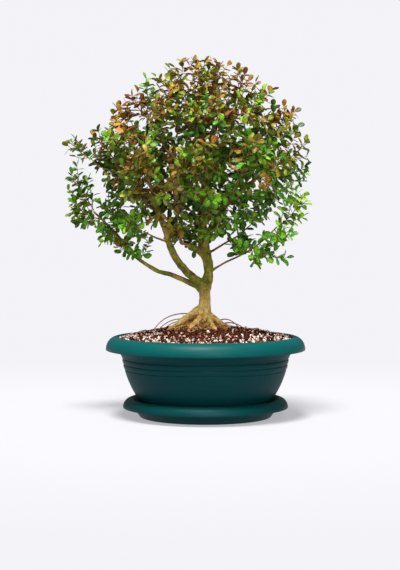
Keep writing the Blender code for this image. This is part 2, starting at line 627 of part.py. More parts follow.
class Shoot:
    """The leafy part of a shoot: a square twig that carries its leaves in crossed pairs."""

    def __init__(self, name, points, radius):
        self.name = name
        self.length = lengths_along(points)[-1]
        self.radius = min(radius, SHOOT_RADIUS)
        nodes = len(LEAVES_AT_NODES)
        spacing = (self.length - LEAF_NODE) / nodes
        self.frames = []
        side = None
        for node in range(nodes + 1):
            reach = 0 if node == 0 else spacing * node - LEAF_NODE
            for offset in (0, LEAF_NODE) if node else (0,):
                middle, heading = at_length(points, reach + offset)
                if side is None:
                    side = heading.orthogonal().normalized()
                side = (side - heading * side.dot(heading)).normalized()
                self.frames.append((middle, heading, side, heading.cross(side)))
        self.leaves = []

    def corners(self, index):
        """The twig's four corners at a station."""
        middle, _, side, other = self.frames[index]
        radius = self.radius * (1 - 0.3 * index / len(self.frames))
        return [middle + (side * a + other * b) * radius for a, b in ((1, 1), (-1, 1), (-1, -1), (1, -1))]

    def leaf(self, node, turn):
        """A leaf's foot, the way it points, its upper side, and two sections of it as four corners each."""
        middle, heading, side, other = self.frames[2 * node + 1]
        out = (other, -side, -other, side)[turn]
        across = heading.cross(out)
        angle = TIP_LEAF_ANGLE if node == len(LEAVES_AT_NODES) - 1 else LEAF_ANGLE
        way = heading * math.cos(angle) + out * math.sin(angle)
        up = way.cross(across)
        foot = middle + heading * (LEAF_NODE / 2) + out * self.radius * 0.7
        sections = []
        for share, width, thickness in ((0.62, 1.0, 1.0), (1.0, 0.5, 0.6)):
            centre = foot + way * LEAF_LENGTH * share
            half = across * (LEAF_WIDTH / 2 * width)
            depth = up * (LEAF_THICKNESS / 2 * thickness)
            below, above = centre - depth, centre + depth
            sections.append([below - half, below + half, above + half, above - half])
        return foot, way, up, sections

    def leaf_hull(self, node, turn):
        """A slightly fat copy of a leaf's blade, to test against what stands near it."""
        foot, way, up, sections = self.leaf(node, turn)
        spread = LEAF_CLEARANCE
        base = foot + way * LEAF_LENGTH * 0.22
        near = [base + (corner - foot).project(way.cross(up)) * 0.5 for corner in sections[0]]
        points = []
        for section in [near] + sections:
            centre = sum(section, Vector()) / 4
            for index, corner in enumerate(section):
                lift = up * (spread if index > 1 else -spread)
                points.append(corner + lift + (corner - centre).normalized() * spread)
        points[-4:] = [point + way * spread for point in points[-4:]]
        quads = [(0, 1, 2, 3), (8, 9, 10, 11)]
        for ring in (0, 4):
            quads += [(ring + k, ring + (k + 1) % 4, ring + 4 + (k + 1) % 4, ring + 4 + k) for k in range(4)]
        return points, quads

    def twig_hull(self):
        points = [corner for index in range(len(self.frames)) for corner in self.corners(index)]
        quads = []
        for ring in range(0, len(points) - 4, 4):
            quads += [(ring + k, ring + (k + 1) % 4, ring + 4 + (k + 1) % 4, ring + 4 + k) for k in range(4)]
        return points, quads

    def build(self, collection, material):
        """Extrude the twig station by station, and each leaf out of the side of the twig."""
        twig = bmesh.new()
        foot = [twig.verts.new(corner) for corner in self.corners(0)]
        end = twig.faces.new(foot)
        for index in range(1, len(self.frames)):
            below = list(end.verts)
            end = extrude_to(twig, end, self.corners(index))
            above = list(end.verts)
            if index % 2:
                continue
            node = index // 2 - 1
            for turn in range(4):
                if (node, turn) not in self.leaves:
                    continue
                after = (turn + 1) % 4
                wall = twig.faces.get([below[turn], below[after], above[after], above[turn]])
                self.grow_leaf(twig, wall, below, node, turn)
        twig.faces.new(foot[::-1])
        bmesh.ops.recalc_face_normals(twig, faces=twig.faces)
        mesh = bpy.data.meshes.new(self.name)
        twig.to_mesh(mesh)
        twig.free()
        return add_object(self.name, mesh, collection, material)

    def grow_leaf(self, twig, wall, below, node, turn):
        _, _, up, sections = self.leaf(node, turn)
        for section in sections:
            centre = sum(section, Vector()) / 4
            across = section[1] - section[0]
            places = []
            for vertex, source in zip(wall.verts, [vertex.co.copy() for vertex in wall.verts]):
                middle = sum((v.co for v in wall.verts), Vector()) / 4
                right = (source - middle).dot(across) > 0
                top = (source - middle).dot(up) > 0 if section is not sections[0] else vertex not in below
                places.append(section[(2 if right else 3) if top else (1 if right else 0)])
            wall = extrude_to(twig, wall, places)


def extrude_to(mesh, face, places):
    """Extrude a face, put its new corners at the places, and return it."""
    end = bmesh.ops.extrude_discrete_faces(mesh, faces=[face])["faces"][0]
    for vertex, point in zip(end.verts, places):
        vertex.co = point
    return end


def make_hollow(name, route, collection):
    """The space that a root or the trunk takes in the soil: the same tube, a gap larger all round."""
    start, end = route[0][0], route[-1][0]
    points = [point for point, _ in route]
    points[0] = start - (points[1] - start).normalized() * GAP
    points[-1] = end + (end - points[-2]).normalized() * GAP
    fat = [(point, radius + GAP) for point, (_, radius) in zip(points, route)]
    make_tube(name + "_hollow", fat, collection, roundness(route))


def surface_of(item):
    """The corners and faces of a mesh object."""
    return [vertex.co for vertex in item.data.vertices], [face.vertices for face in item.data.polygons]


def make_tree(collection, wood_parts, root_hollows, materials):
    """The woody plant as one solid, and each leafy shoot as its own."""
    routes = {"trunk": smooth_route(TRUNK, LIMB_STEP)}
    routes.update({name: smooth_route(stations, LIMB_STEP) for name, stations in LIMBS.items()})
    roots = {name: smooth_route(stations, ROOT_STEP) for name, stations in ROOTS.items()}
    trunk = make_tube("trunk_and_branches", routes["trunk"], collection)
    trunk.hide_render = False
    trunk.display_type = "TEXTURED"
    trunk.data.materials.append(materials["bark"])
    wood = [trunk]
    for name in LIMBS:
        wood.append(make_tube(name, routes[name], wood_parts))
    for name, route in roots.items():
        wood.append(make_tube(name, route, wood_parts))
        make_hollow(name, route, root_hollows)
    make_hollow("trunk", routes["trunk"], root_hollows)

    shoots = []
    for limb, tips in SHOOTS.items():
        for number, tip in enumerate(tips):
            foot, leafy, radius = plan_shoot(routes[limb], place(*tip), number == 0)
            name = f"{limb}_shoot_{number + 1}"
            if foot:
                taper = [radius, (radius + SHOOT_RADIUS) / 2, SHOOT_RADIUS]
                wood.append(make_tube(name + "_foot", list(zip(foot, taper)), wood_parts))
            shoots.append(Shoot(name, leafy, radius))

    join = trunk.modifiers.new("grown_together", "BOOLEAN")
    join.operation = "UNION"
    join.operand_type = "COLLECTION"
    join.collection = wood_parts
    join.solver = "EXACT"

    trees = [BVHTree.FromPolygons(*surface_of(limb)) for limb in wood]
    trees += [BVHTree.FromPolygons(*shoot.twig_hull()) for shoot in shoots]
    for shoot in shoots:
        for node, turns in enumerate(LEAVES_AT_NODES):
            for turn in turns:
                hull = BVHTree.FromPolygons(*shoot.leaf_hull(node, turn))
                if any(hull.overlap(other) for other in trees):
                    continue
                trees.append(hull)
                shoot.leaves.append((node, turn))
        shoot.build(collection, materials["leaf"])
    return trunk


def main():
    clear_scene()
    bonsai = new_collection("bonsai")
    drains = new_collection("drain_cutters")
    wood_parts = new_collection("wood_parts")
    root_hollows = new_collection("root_hollows")
    materials = {name: make_material(name) for name in MATERIALS}
    make_tree(bonsai, wood_parts, root_hollows, materials)
    make_saucer(bonsai, materials["saucer_plastic"])
    make_pot(bonsai, drains, materials["pot_plastic"])
    make_soil(bonsai, root_hollows, materials["soil"])


main()
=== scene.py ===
"""The looks of a small-leaved bonsai tree in a green plastic bowl and saucer.

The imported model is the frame: it says where the bowl, saucer, soil, wood and leafy shoots are. Each of them is
replaced here by a finer piece in the same place, and more leafy twigs fill the crown between the shoots.
Metres throughout, +Z up, and the camera stands at -Y. Colours are linear, unless srgb() makes them.
"""

import math

import bmesh
import bpy
import numpy as np
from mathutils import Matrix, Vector, noise
from mathutils.bvhtree import BVHTree

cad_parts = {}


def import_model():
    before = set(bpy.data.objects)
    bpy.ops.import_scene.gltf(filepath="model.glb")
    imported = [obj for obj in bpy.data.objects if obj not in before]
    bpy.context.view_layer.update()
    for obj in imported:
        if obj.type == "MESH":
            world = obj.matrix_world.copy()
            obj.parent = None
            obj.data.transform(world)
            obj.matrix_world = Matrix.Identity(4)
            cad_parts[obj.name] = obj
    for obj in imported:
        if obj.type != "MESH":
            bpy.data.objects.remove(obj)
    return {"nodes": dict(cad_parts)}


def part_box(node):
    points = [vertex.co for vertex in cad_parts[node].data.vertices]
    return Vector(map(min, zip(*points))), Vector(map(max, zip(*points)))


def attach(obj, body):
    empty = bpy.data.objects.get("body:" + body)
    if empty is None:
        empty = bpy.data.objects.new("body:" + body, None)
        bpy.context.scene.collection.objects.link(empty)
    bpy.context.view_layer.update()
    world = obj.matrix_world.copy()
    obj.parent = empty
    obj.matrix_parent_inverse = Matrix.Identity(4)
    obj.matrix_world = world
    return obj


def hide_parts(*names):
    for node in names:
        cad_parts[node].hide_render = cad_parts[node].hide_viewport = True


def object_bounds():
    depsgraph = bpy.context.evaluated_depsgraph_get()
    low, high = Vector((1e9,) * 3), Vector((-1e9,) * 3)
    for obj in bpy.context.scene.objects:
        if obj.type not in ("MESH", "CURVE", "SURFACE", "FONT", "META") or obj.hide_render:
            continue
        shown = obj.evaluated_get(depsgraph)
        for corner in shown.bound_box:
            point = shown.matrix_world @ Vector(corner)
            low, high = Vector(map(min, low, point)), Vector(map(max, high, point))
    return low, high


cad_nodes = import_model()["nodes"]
cad_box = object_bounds()

# Camera
CAMERA_PLACE = (-0.0083, -2.2, 0.293)
CAMERA_AIM = (-0.0083, 0.0, 0.198)
CAMERA_LENS_MM = 131.8
CAMERA_FRAME_MM = 36.0

# Light
KEY_ANGLES = (math.radians(19), 0.0, math.radians(-12))
KEY_STRENGTH = 4.9
KEY_SOFTNESS = math.radians(16)
FRONT_ANGLES = (math.radians(62), 0.0, math.radians(8))
FRONT_STRENGTH = 0.85
FRONT_SOFTNESS = math.radians(20)
SKY_COLOUR = (0.95, 0.96, 1.0)
SKY_STRENGTH = 0.17
BACKGROUND = (0.900, 0.893, 0.935)
FLOOR_SIZE = 30.0
FLOOR_COLOURS = ((0.60, 0.595, 0.615), (0.58, 0.58, 0.60))
FLOOR_BOUNCE = 0.12  # the floor's colour as the object sees it, since what it stands on throws back little light
FLOOR_FADE = (0.25, 1.0)  # where the floor turns into the background
FLOOR_GLOW = 0.45  # how much it already has of the background's colour at the saucer

# Bowl and saucer, as offsets from their boxes in the frame
TURN_STEPS = 144
FILLET_STEPS = 4
POT_WALL = 0.0026
RIM_HEIGHT = 0.0195
RIM_WIDTH = 0.0210  # from the lip to the outermost edge
LIP_ROUND = 0.0045  # how far the rim's rounded outer part starts from the lip
COLLAR_RADIUS = 0.1320
COLLAR_HEIGHT = 0.0100
COLLAR_STEP = 0.0018
BOWL_RADIUS = 0.1256
BOWL_TAPER = 0.0095
BOWL_BELLY = 0.0320
BOWL_STEPS = 14
GROOVE_DROPS = (0.0033, 0.0115, 0.0197)  # below the collar
GROOVE_WIDTH = 0.0022
GROOVE_DEPTH = 0.0011
BAND_SWELL = 0.0007  # how far the wall between two grooves bulges
SAUCER_WALL = 0.0026
SAUCER_LIP = 0.0123
SAUCER_LIP_DROP = 0.0133
SAUCER_BASE_INSET = 0.0258  # from the lip's outer edge in to the corner of the base

# Plastic: its colour, a darker colour lower down that is painted shade for the shadow under the bowl's rim,
# streaks, and the height where the painted shade ends
POT_LOOK = ((0.001, 0.090, 0.086), (0.001, 0.058, 0.066), (0.005, 0.105, 0.100), 0.102)
SAUCER_LOOK = ((0.001, 0.072, 0.072), (0.001, 0.050, 0.057), (0.005, 0.100, 0.095), 0.016)
DUST_COLOUR = (0.10, 0.16, 0.14)

# Soil
SOIL_BELOW_RIM = 0.0040
SOIL_EDGE_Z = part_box("pot")[1].z - SOIL_BELOW_RIM
SOIL_MOUND = 0.0180
SOIL_RADIUS = 0.1296
SOIL_RINGS = 90
SOIL_LUMPS = 0.0016
SOIL_SKIRT = 0.010  # how deep its underside is below its edge
SOIL_SKIRT_INSET = 0.004
CHIP_COUNT = 3600
CHIP_SIZES = (0.0028, 0.0072)
PERLITE_COUNT = 640
PERLITE_SIZES = (0.0020, 0.0068)
TRUNK_CLEARANCE = 0.016  # no grain is nearer to the middle of the trunk

# Wood
BARK_VOXEL = 0.00098
RAY_START = 0.0002  # how far under the skin the ray starts that measures thickness
RAY_LENGTH = 0.06
LEAST_THICKNESS = 0.002
SMOOTH_PASSES = 8
THICKNESS_PASSES = 30
FINE_ROOT_COUNT = 420
LONG_ROOTS = (
    # left -1 or right 1, start's distance from the trunk's middle, length, rise of the arch, start's height
    (-1, 0.014, 0.067, 0.004, 0.0185),
    (-1, 0.022, 0.052, 0.005, 0.0100),
    (-1, 0.026, 0.040, 0.007, 0.0040),
    (1, 0.016, 0.038, 0.008, 0.0060),
    (1, 0.022, 0.042, 0.006, 0.0030),
    (-1, 0.034, 0.044, 0.003, 0.0020),
)

# Leaves
CROWN_MIDDLE = np.array((-0.013, 0.0, 0.392))
NODE_SPACING = 0.0072
LEAF_LENGTH = 0.0162
LEAF_WIDTH = 0.64  # as a share of its length
LEAF_THICKNESS = 0.00035
LEAF_UNDERSIDE = (0.8, (0.030, 0.036, 0.008))  # its share of the upper side's tint, and what is added
LEAF_STATIONS = ((0.0, 0.10), (0.09, 0.16), (0.28, 0.68), (0.50, 0.96), (0.70, 1.0), (0.88, 0.74), (0.97, 0.36))
SIDE_TWIGS = 6
TWIG_RADIUS = 0.00075
TWIG_TINT = (0.46, 0.28, 0.13)
SHOOT_FOOT = 0.004  # the bare start of a spray's main twig, and how far its tip stays behind the shoot's
LEAF_ROOM = 0.0062  # least distance between the middles of two leaves
LOBES = (
    # middle, radii, tries: where filling twigs may reach
    ((-0.010, 0.0, 0.382), (0.138, 0.112, 0.128), 1250),
    ((-0.020, 0.0, 0.345), (0.100, 0.085, 0.085), 600),
    ((0.070, 0.0, 0.430), (0.052, 0.075, 0.050), 300),
    ((-0.110, 0.0, 0.375), (0.055, 0.070, 0.065), 350),
    ((-0.130, 0.025, 0.285), (0.055, 0.050, 0.050), 90),
    ((0.078, -0.020, 0.268), (0.055, 0.045, 0.042), 30),
)
# The upper crown's outline from the front: height, left edge, right edge. Below it the crown isn't trimmed.
CROWN_OUTLINE = (
    (0.418, -0.205, 0.146),
    (0.432, -0.150, 0.130),
    (0.456, -0.136, 0.128),
    (0.470, -0.124, 0.124),
    (0.482, -0.108, 0.112),
    (0.494, -0.090, 0.092),
    (0.506, -0.078, 0.066),
    (0.520, -0.056, 0.050),
    (0.532, -0.034, 0.030),
)
CROWN_DEPTH = 0.128  # half its depth, at most
FILL_ROOM = 0.0135  # a filling twig goes where no leaf is nearer
FILL_REACH = (0.010, 0.065)  # its shortest and longest
FILL_LEAFY = 0.034  # only this much of its end has leaves
ANCHOR_THICKNESS = 0.0095  # it grows from wood no thicker, at every fifth vertex
ANCHOR_STEP = 5
LOWEST_TWIG = 0.205  # no filling twig grows from lower wood
BARE_FRONT = ((-0.100, 0.035), 0.02, 0.268)  # left and right, rear, and top of the room in front of the bare trunk
FILL_PIECES = 8

SEED = 11


# Mesh tools


class Gathered:
    """Points, faces and a tint for each point, gathered from many small shapes into one mesh."""

    def __init__(self):
        self.points = []
        self.faces = []
        self.tints = []
        self.count = 0

    def add(self, points, faces, tint):
        """Tint is one (r, g, b) colour, or one for each point."""
        points = np.asarray(points, float)
        self.points.append(points)
        self.faces += [[index + self.count for index in face] for face in faces]
        self.tints.append(np.broadcast_to(np.asarray(tint, float), (len(points), 3)))
        self.count += len(points)

    def build(self, name):
        mesh = bpy.data.meshes.new(name)
        mesh.from_pydata(np.concatenate(self.points).tolist(), [], self.faces)
        tints = np.concatenate(self.tints)
        attribute = mesh.color_attributes.new("tint", "FLOAT_COLOR", "POINT")
        attribute.data.foreach_set("color", np.column_stack([tints, np.ones(len(tints))]).ravel())
        mesh.shade_smooth()
        return mesh


def add_piece(name, mesh, material, slot, *nodes):
    """A piece of the object that rides on the frame and stands for these nodes of it."""
    piece = bpy.data.objects.new(name, mesh)
    bpy.context.scene.collection.objects.link(piece)
    mesh.materials.clear()
    mesh.materials.append(material)
    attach(piece, "root")
    if nodes:
        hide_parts(*nodes)
    return piece


def filleted(profile):
    """An outline of (radius, z, fillet) points, with each corner rounded over its fillet's length."""
    outline = []
    for index, (radius, z, fillet) in enumerate(profile):
        corner = np.array((radius, z))
        if not fillet or index in (0, len(profile) - 1):
            outline.append(corner)
            continue
        before = np.array(profile[index - 1][:2]) - corner
        after = np.array(profile[index + 1][:2]) - corner
        reach = min(fillet, 0.48 * np.linalg.norm(before), 0.48 * np.linalg.norm(after))
        start = corner + before / np.linalg.norm(before) * reach
        stop = corner + after / np.linalg.norm(after) * reach
        for step in range(FILLET_STEPS + 1):
            t = step / FILLET_STEPS
            outline.append(start * (1 - t) ** 2 + corner * 2 * t * (1 - t) + stop * t**2)
    return outline


def turned(name, outline):
    """A closed solid of revolution about the Z axis. The outline starts and ends on the axis."""
    rings = outline[1:-1]
    angles = np.linspace(0, math.tau, TURN_STEPS, endpoint=False)
    points = [(0, 0, outline[0][1]), (0, 0, outline[-1][1])]
    for radius, z in rings:
        points += [(radius * math.cos(a), radius * math.sin(a), z) for a in angles]
    faces = []
    last = 2 + (len(rings) - 1) * TURN_STEPS
    for k in range(TURN_STEPS):
        after = (k + 1) % TURN_STEPS
        faces.append((0, 2 + k, 2 + after))
        faces.append((1, last + after, last + k))
        for ring in range(len(rings) - 1):
            low = 2 + ring * TURN_STEPS
            high = low + TURN_STEPS
            faces.append((low + k, high + k, high + after, low + after))
    mesh = bpy.data.meshes.new(name)
    mesh.from_pydata(points, [], faces)
    mesh.shade_smooth()
    return mesh


def arc(middle, width, height, start, stop, steps):
    """Points on an ellipse from angle start to stop in degrees: 0 is its outer end, 90 its top."""
    angles = np.radians(np.linspace(start, stop, steps + 1))
    return [(middle[0] + width * math.cos(a), middle[1] + height * math.sin(a), 0) for a in angles]


def unit(vectors):
    return vectors / np.maximum(np.linalg.norm(vectors, axis=-1, keepdims=True), 1e-9)


def bent(start, middle, stop, count):
    """Points on a curve from start to stop that passes through middle."""
    t = np.linspace(0, 1, count)[:, None]
    handle = 2 * np.asarray(middle) - (np.asarray(start) + np.asarray(stop)) / 2
    return np.asarray(start) * (1 - t) ** 2 + handle * 2 * t * (1 - t) + np.asarray(stop) * t**2


def tube(points, radii, sides=5):
    """The points and faces of a round tube with closed ends along the points."""
    points = np.asarray(points, float)
    ways = unit(np.gradient(points, axis=0))
    side = np.cross(ways[0], (0.3, 0.9, 0.2))
    rings = []
    angles = np.linspace(0, math.tau, sides, endpoint=False)
    for point, way, radius in zip(points, ways, radii):
        side = unit(side - way * side.dot(way))
        other = np.cross(way, side)
        rings.append(point + radius * (np.outer(np.cos(angles), side) + np.outer(np.sin(angles), other)))
    faces = []
    for ring in range(len(points) - 1):
        low, high = ring * sides, (ring + 1) * sides
        faces += [(low + k, low + (k + 1) % sides, high + (k + 1) % sides, high + k) for k in range(sides)]
    faces.append(tuple(range(sides))[::-1])
    faces.append(tuple(range((len(points) - 1) * sides, len(points) * sides)))
    return np.concatenate(rings), faces


# Material tools


class Shader:
    """A material's nodes, with short calls that add one and return its output."""

    def __init__(self, name, roughness, **numbers):
        self.material = bpy.data.materials.new(name)
        self.material.use_nodes = True
        self.tree = self.material.node_tree
        self.surface = self.tree.nodes["Principled BSDF"]
        self.surface.inputs["Roughness"].default_value = roughness
        for socket, value in numbers.items():
            self.surface.inputs[socket.replace("_", " ")].default_value = value
        self.place = self.node("ShaderNodeTexCoord").outputs["Object"]

    def node(self, kind, **settings):
        made = self.tree.nodes.new(kind)
        for name, value in settings.items():
            setattr(made, name, value)
        return made

    def feed(self, socket, value):
        if isinstance(value, bpy.types.NodeSocket):
            self.tree.links.new(value, socket)
        else:
            socket.default_value = value

    def noise(self, scale, detail=3.0, roughness=0.55, stretch=None):
        made = self.node("ShaderNodeTexNoise")
        made.inputs["Scale"].default_value = scale
        made.inputs["Detail"].default_value = detail
        made.inputs["Roughness"].default_value = roughness
        place = self.place
        if stretch:
            mapping = self.node("ShaderNodeMapping")
            mapping.inputs["Scale"].default_value = stretch
            self.feed(mapping.inputs["Vector"], self.place)
            place = mapping.outputs["Vector"]
        self.feed(made.inputs["Vector"], place)
        return made.outputs["Fac"]

    def cells(self, scale):
        made = self.node("ShaderNodeTexVoronoi")
        made.inputs["Scale"].default_value = scale
        self.feed(made.inputs["Vector"], self.place)
        return made.outputs["Distance"]

    def attribute(self, name, output="Color"):
        return self.node("ShaderNodeAttribute", attribute_name=name).outputs[output]

    def mapped(self, value, side, low, high, curve):
        made = self.node("ShaderNodeMapRange", interpolation_type=curve)
        self.feed(made.inputs["Value"], value)
        made.inputs[f"{side} Min"].default_value = low
        made.inputs[f"{side} Max"].default_value = high
        return made.outputs["Result"]

    def spread(self, value, low, high):
        """The value from low to high as 0 to 1, eased at both ends."""
        return self.mapped(value, "From", low, high, "SMOOTHSTEP")

    def between(self, value, low, high):
        """0 to 1 as low to high."""
        return self.mapped(value, "To", low, high, "LINEAR")

    def sum(self, first, second):
        made = self.node("ShaderNodeMath", operation="ADD")
        self.feed(made.inputs[0], first)
        self.feed(made.inputs[1], second)
        return made.outputs["Value"]

    def mix(self, share, first, second, blend="MIX"):
        made = self.node("ShaderNodeMix", data_type="RGBA", blend_type=blend)
        self.feed(made.inputs[0], share)
        for socket, colour in ((made.inputs[6], first), (made.inputs[7], second)):
            self.feed(socket, (*colour, 1) if isinstance(colour, tuple) else colour)
        return made.outputs[2]

    def tinted(self, pattern, dark, light, low=0.3):
        """The mesh's own tint, made darker or lighter by the pattern."""
        shade = self.mix(self.spread(pattern, low, 1 - low), dark, light)
        return self.mix(1.0, self.attribute("tint"), shade, "MULTIPLY")

    def height(self):
        """The Z of the point, as a value."""
        made = self.node("ShaderNodeSeparateXYZ")
        self.feed(made.inputs[0], self.place)
        return made.outputs["Z"]

    def bump(self, value, distance, strength=1.0):
        made = self.node("ShaderNodeBump")
        made.inputs["Distance"].default_value = distance
        made.inputs["Strength"].default_value = strength
        self.feed(made.inputs["Height"], value)
        self.feed(self.surface.inputs["Normal"], made.outputs["Normal"])

    def finish(self, colour, roughness=None):
        self.feed(self.surface.inputs["Base Color"], colour)
        if roughness is not None:
            self.feed(self.surface.inputs["Roughness"], roughness)
        return self.material


def plastic(name, colour, painted_shade, streaked, painted_shade_top):
    """Moulded matt plastic: a fine grain, faint streaks, dust, and painted shade below the rim, a darker colour
    for the rim's shadow.
    """
    look = Shader(name, 0.42, Specular_IOR_Level=0.13)
    cloudy = look.spread(look.noise(16, 4), 0.35, 0.7)
    rise = look.sum(look.height(), look.between(cloudy, -0.002, 0.002))
    # Painted shade: below the given height the plastic takes the darker colour, for the shadow under the rim.
    tone = look.mix(look.spread(rise, painted_shade_top - 0.006, painted_shade_top + 0.006), painted_shade, colour)
    streaks = look.spread(look.noise(9, 5, 0.7, stretch=(1, 1, 22)), 0.45, 0.75)
    tone = look.mix(look.between(streaks, 0, 0.14), tone, streaked)
    dust = look.spread(look.noise(420, 2, 0.7), 0.66, 0.78)
    tone = look.mix(look.between(dust, 0, 0.18), tone, DUST_COLOUR)
    grain = look.sum(look.noise(900, 2), look.between(look.noise(60, 3), 0, 2.0))
    look.bump(grain, 0.00016, 0.6)
    return look.finish(tone, look.between(look.noise(30, 4), 0.34, 0.52))


def bark():
    """Rust at the soil, then ochre, then olive with tan and moss, tan on the twigs, and painted shade in the
    cracks, a dark colour in the grooves.
    """
    look = Shader("bark", 0.78, Specular_IOR_Level=0.1)
    thick = look.attribute("thickness", "Fac")
    groove_shade = look.attribute("groove_shade", "Fac")
    height = look.height()
    mottled = look.noise(95, 5, 0.62)
    ochre = look.mix(look.spread(mottled, 0.32, 0.62), (0.85, 0.42, 0.070), (1.0, 0.78, 0.28))
    olive = look.mix(look.spread(mottled, 0.35, 0.65), (0.070, 0.070, 0.008), (0.40, 0.37, 0.050))
    tan = look.spread(look.noise(46, 4, 0.6), 0.50, 0.60)
    olive = look.mix(look.between(tan, 0, 0.7), olive, (0.72, 0.43, 0.13))
    moss = look.spread(look.noise(38, 4, 0.6), 0.46, 0.64)
    olive = look.mix(look.between(moss, 0, 0.75), olive, (0.17, 0.22, 0.022))
    twig = look.mix(look.spread(mottled, 0.3, 0.7), (0.16, 0.085, 0.032), (0.40, 0.25, 0.10))
    rise = look.sum(height, look.between(look.noise(30, 3), -0.022, 0.022))
    rust = look.mix(look.spread(mottled, 0.35, 0.6), (0.20, 0.065, 0.022), (0.85, 0.48, 0.14))
    ochre = look.mix(look.spread(rise, 0.150, 0.128), ochre, rust)
    wood = look.mix(look.spread(rise, 0.158, 0.206), ochre, olive)
    wood = look.mix(look.between(look.spread(rise, 0.31, 0.38), 0, 0.7), wood, twig)
    wood = look.mix(look.spread(thick, 0.0058, 0.0030), wood, twig)
    # Painted shade: the grooves pushed into the bark are darkened in colour.
    wood = look.mix(look.between(look.spread(groove_shade, 0.15, 0.85), 0, 0.40), wood, (0.16, 0.075, 0.022))
    specks = look.spread(look.noise(420, 3, 0.7), 0.60, 0.72)
    wood = look.mix(look.between(specks, 0, 0.50), wood, (0.075, 0.040, 0.012))
    ridges = look.noise(300, 5, 0.7, stretch=(1, 1, 0.5))
    look.bump(look.sum(ridges, look.between(look.cells(520), 0, 0.45)), 0.0009, 0.8)
    return look.finish(wood, look.between(mottled, 0.66, 0.9))


def fine_root():
    look = Shader("fine_root", 0.75)
    look.bump(look.noise(1500, 2), 0.0002)
    return look.finish(look.tinted(look.noise(240, 3), (0.55, 0.50, 0.42), (1.15, 1.1, 1.0), 0.35))


def soil_bed():
    look = Shader("soil_bed", 0.95, Specular_IOR_Level=0.05)
    crumbs = look.noise(260, 5, 0.7)
    tone = look.mix(look.spread(crumbs, 0.35, 0.65), (0.022, 0.007, 0.004), (0.10, 0.032, 0.018))
    look.bump(look.sum(crumbs, look.between(look.cells(420), 0, 0.8)), 0.0016)
    return look.finish(tone)


def bark_chip():
    look = Shader("bark_chip", 0.88, Specular_IOR_Level=0.08)
    fibre = look.noise(330, 4, 0.65, stretch=(1, 0.4, 1))
    look.bump(fibre, 0.0006)
    return look.finish(look.tinted(fibre, (0.45, 0.42, 0.40), (1.35, 1.3, 1.25)))


def perlite():
    look = Shader("perlite", 0.85, Specular_IOR_Level=0.1)
    look.bump(look.sum(look.cells(1500), look.noise(900, 3)), 0.0003)
    return look.finish(look.tinted(look.noise(500, 3), (0.86, 0.80, 0.76), (1.06, 1.05, 1.03)))


def leaf():
    """Leathery, in the mesh's own tints, with faint mottling."""
    look = Shader("leaf", 0.38, Specular_IOR_Level=0.26)
    look.bump(look.noise(700, 2), 0.00012, 0.6)
    tone = look.tinted(look.noise(300, 3), (0.72, 0.74, 0.70), (1.18, 1.16, 1.10))
    return look.finish(tone, look.between(look.noise(120, 3), 0.30, 0.52))


# Bowl and saucer


def bowl_radius(z, foot_z, collar_z):
    drop = (collar_z - z) / (collar_z - foot_z)
    return BOWL_RADIUS - BOWL_TAPER * drop - BOWL_BELLY * drop**2


def bowl_outline(foot_z, collar_z):
    """The wall from the collar down to the foot: three grooves with gently swelling bands between, then plain."""
    wall = []
    for drop, above in zip(GROOVE_DROPS, (0, *GROOVE_DROPS)):
        middle = collar_z - (drop + above) / 2
        wall.append((bowl_radius(middle, foot_z, collar_z) + BAND_SWELL, middle, 0.003))
        for offset, depth in ((GROOVE_WIDTH / 2, 0), (0, GROOVE_DEPTH), (-GROOVE_WIDTH / 2, 0)):
            z = collar_z - drop + offset
            wall.append((bowl_radius(z, foot_z, collar_z) - depth, z, 0.0007))
    top = collar_z - GROOVE_DROPS[-1] - 2 * GROOVE_WIDTH
    for z in np.linspace(top, foot_z + 0.003, BOWL_STEPS):
        wall.append((bowl_radius(z, foot_z, collar_z), z, 0))
    foot = bowl_radius(foot_z, foot_z, collar_z)
    return wall + [(foot - 0.0005, foot_z, 0.003), (foot - 0.010, foot_z, 0), (0, foot_z, 0)]


def make_bowl():
    low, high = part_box("pot")
    collar_z = high.z - RIM_HEIGHT - COLLAR_HEIGHT
    floor_z = low.z + POT_WALL
    inside = [(0, floor_z, 0), (bowl_radius(low.z, low.z, collar_z) - POT_WALL, floor_z, 0.004)]
    for z in np.linspace(low.z + 0.006, collar_z, 8):
        inside.append((bowl_radius(z, low.z, collar_z) - POT_WALL, z, 0))
    lip = COLLAR_RADIUS
    inside += [(lip - POT_WALL, high.z - RIM_HEIGHT, 0.004), (lip - 0.0012, high.z - 0.002, 0.0015)]
    lip_middle = (high.x - RIM_WIDTH + LIP_ROUND, high.z - RIM_HEIGHT)
    outer = arc(lip_middle, RIM_WIDTH - LIP_ROUND, RIM_HEIGHT, 88, 4, 22)
    turn_in = [(high.x - 0.0002, high.z - RIM_HEIGHT - 0.0006, 0.0008)]
    turn_in += [(high.x - POT_WALL, high.z - RIM_HEIGHT, 0.0008)]
    under = arc(lip_middle, RIM_WIDTH - LIP_ROUND - POT_WALL, RIM_HEIGHT - POT_WALL, 8, 80, 10)
    collar = [(lip + 0.0006, high.z - RIM_HEIGHT + 0.008, 0.002), (lip, high.z - RIM_HEIGHT - 0.003, 0.001)]
    collar += [(lip - COLLAR_STEP, high.z - RIM_HEIGHT - 0.0036, 0.0008)]
    collar += [(lip - 0.0040, collar_z + 0.0024, 0.001), (lip - 0.0052, collar_z + 0.0012, 0.001)]
    outline = filleted(inside + outer + turn_in + under + collar + bowl_outline(low.z, collar_z))
    look = plastic("pot_plastic", *POT_LOOK)
    add_piece("bowl", turned("bowl", outline[::-1]), look, "pot_plastic", "pot")


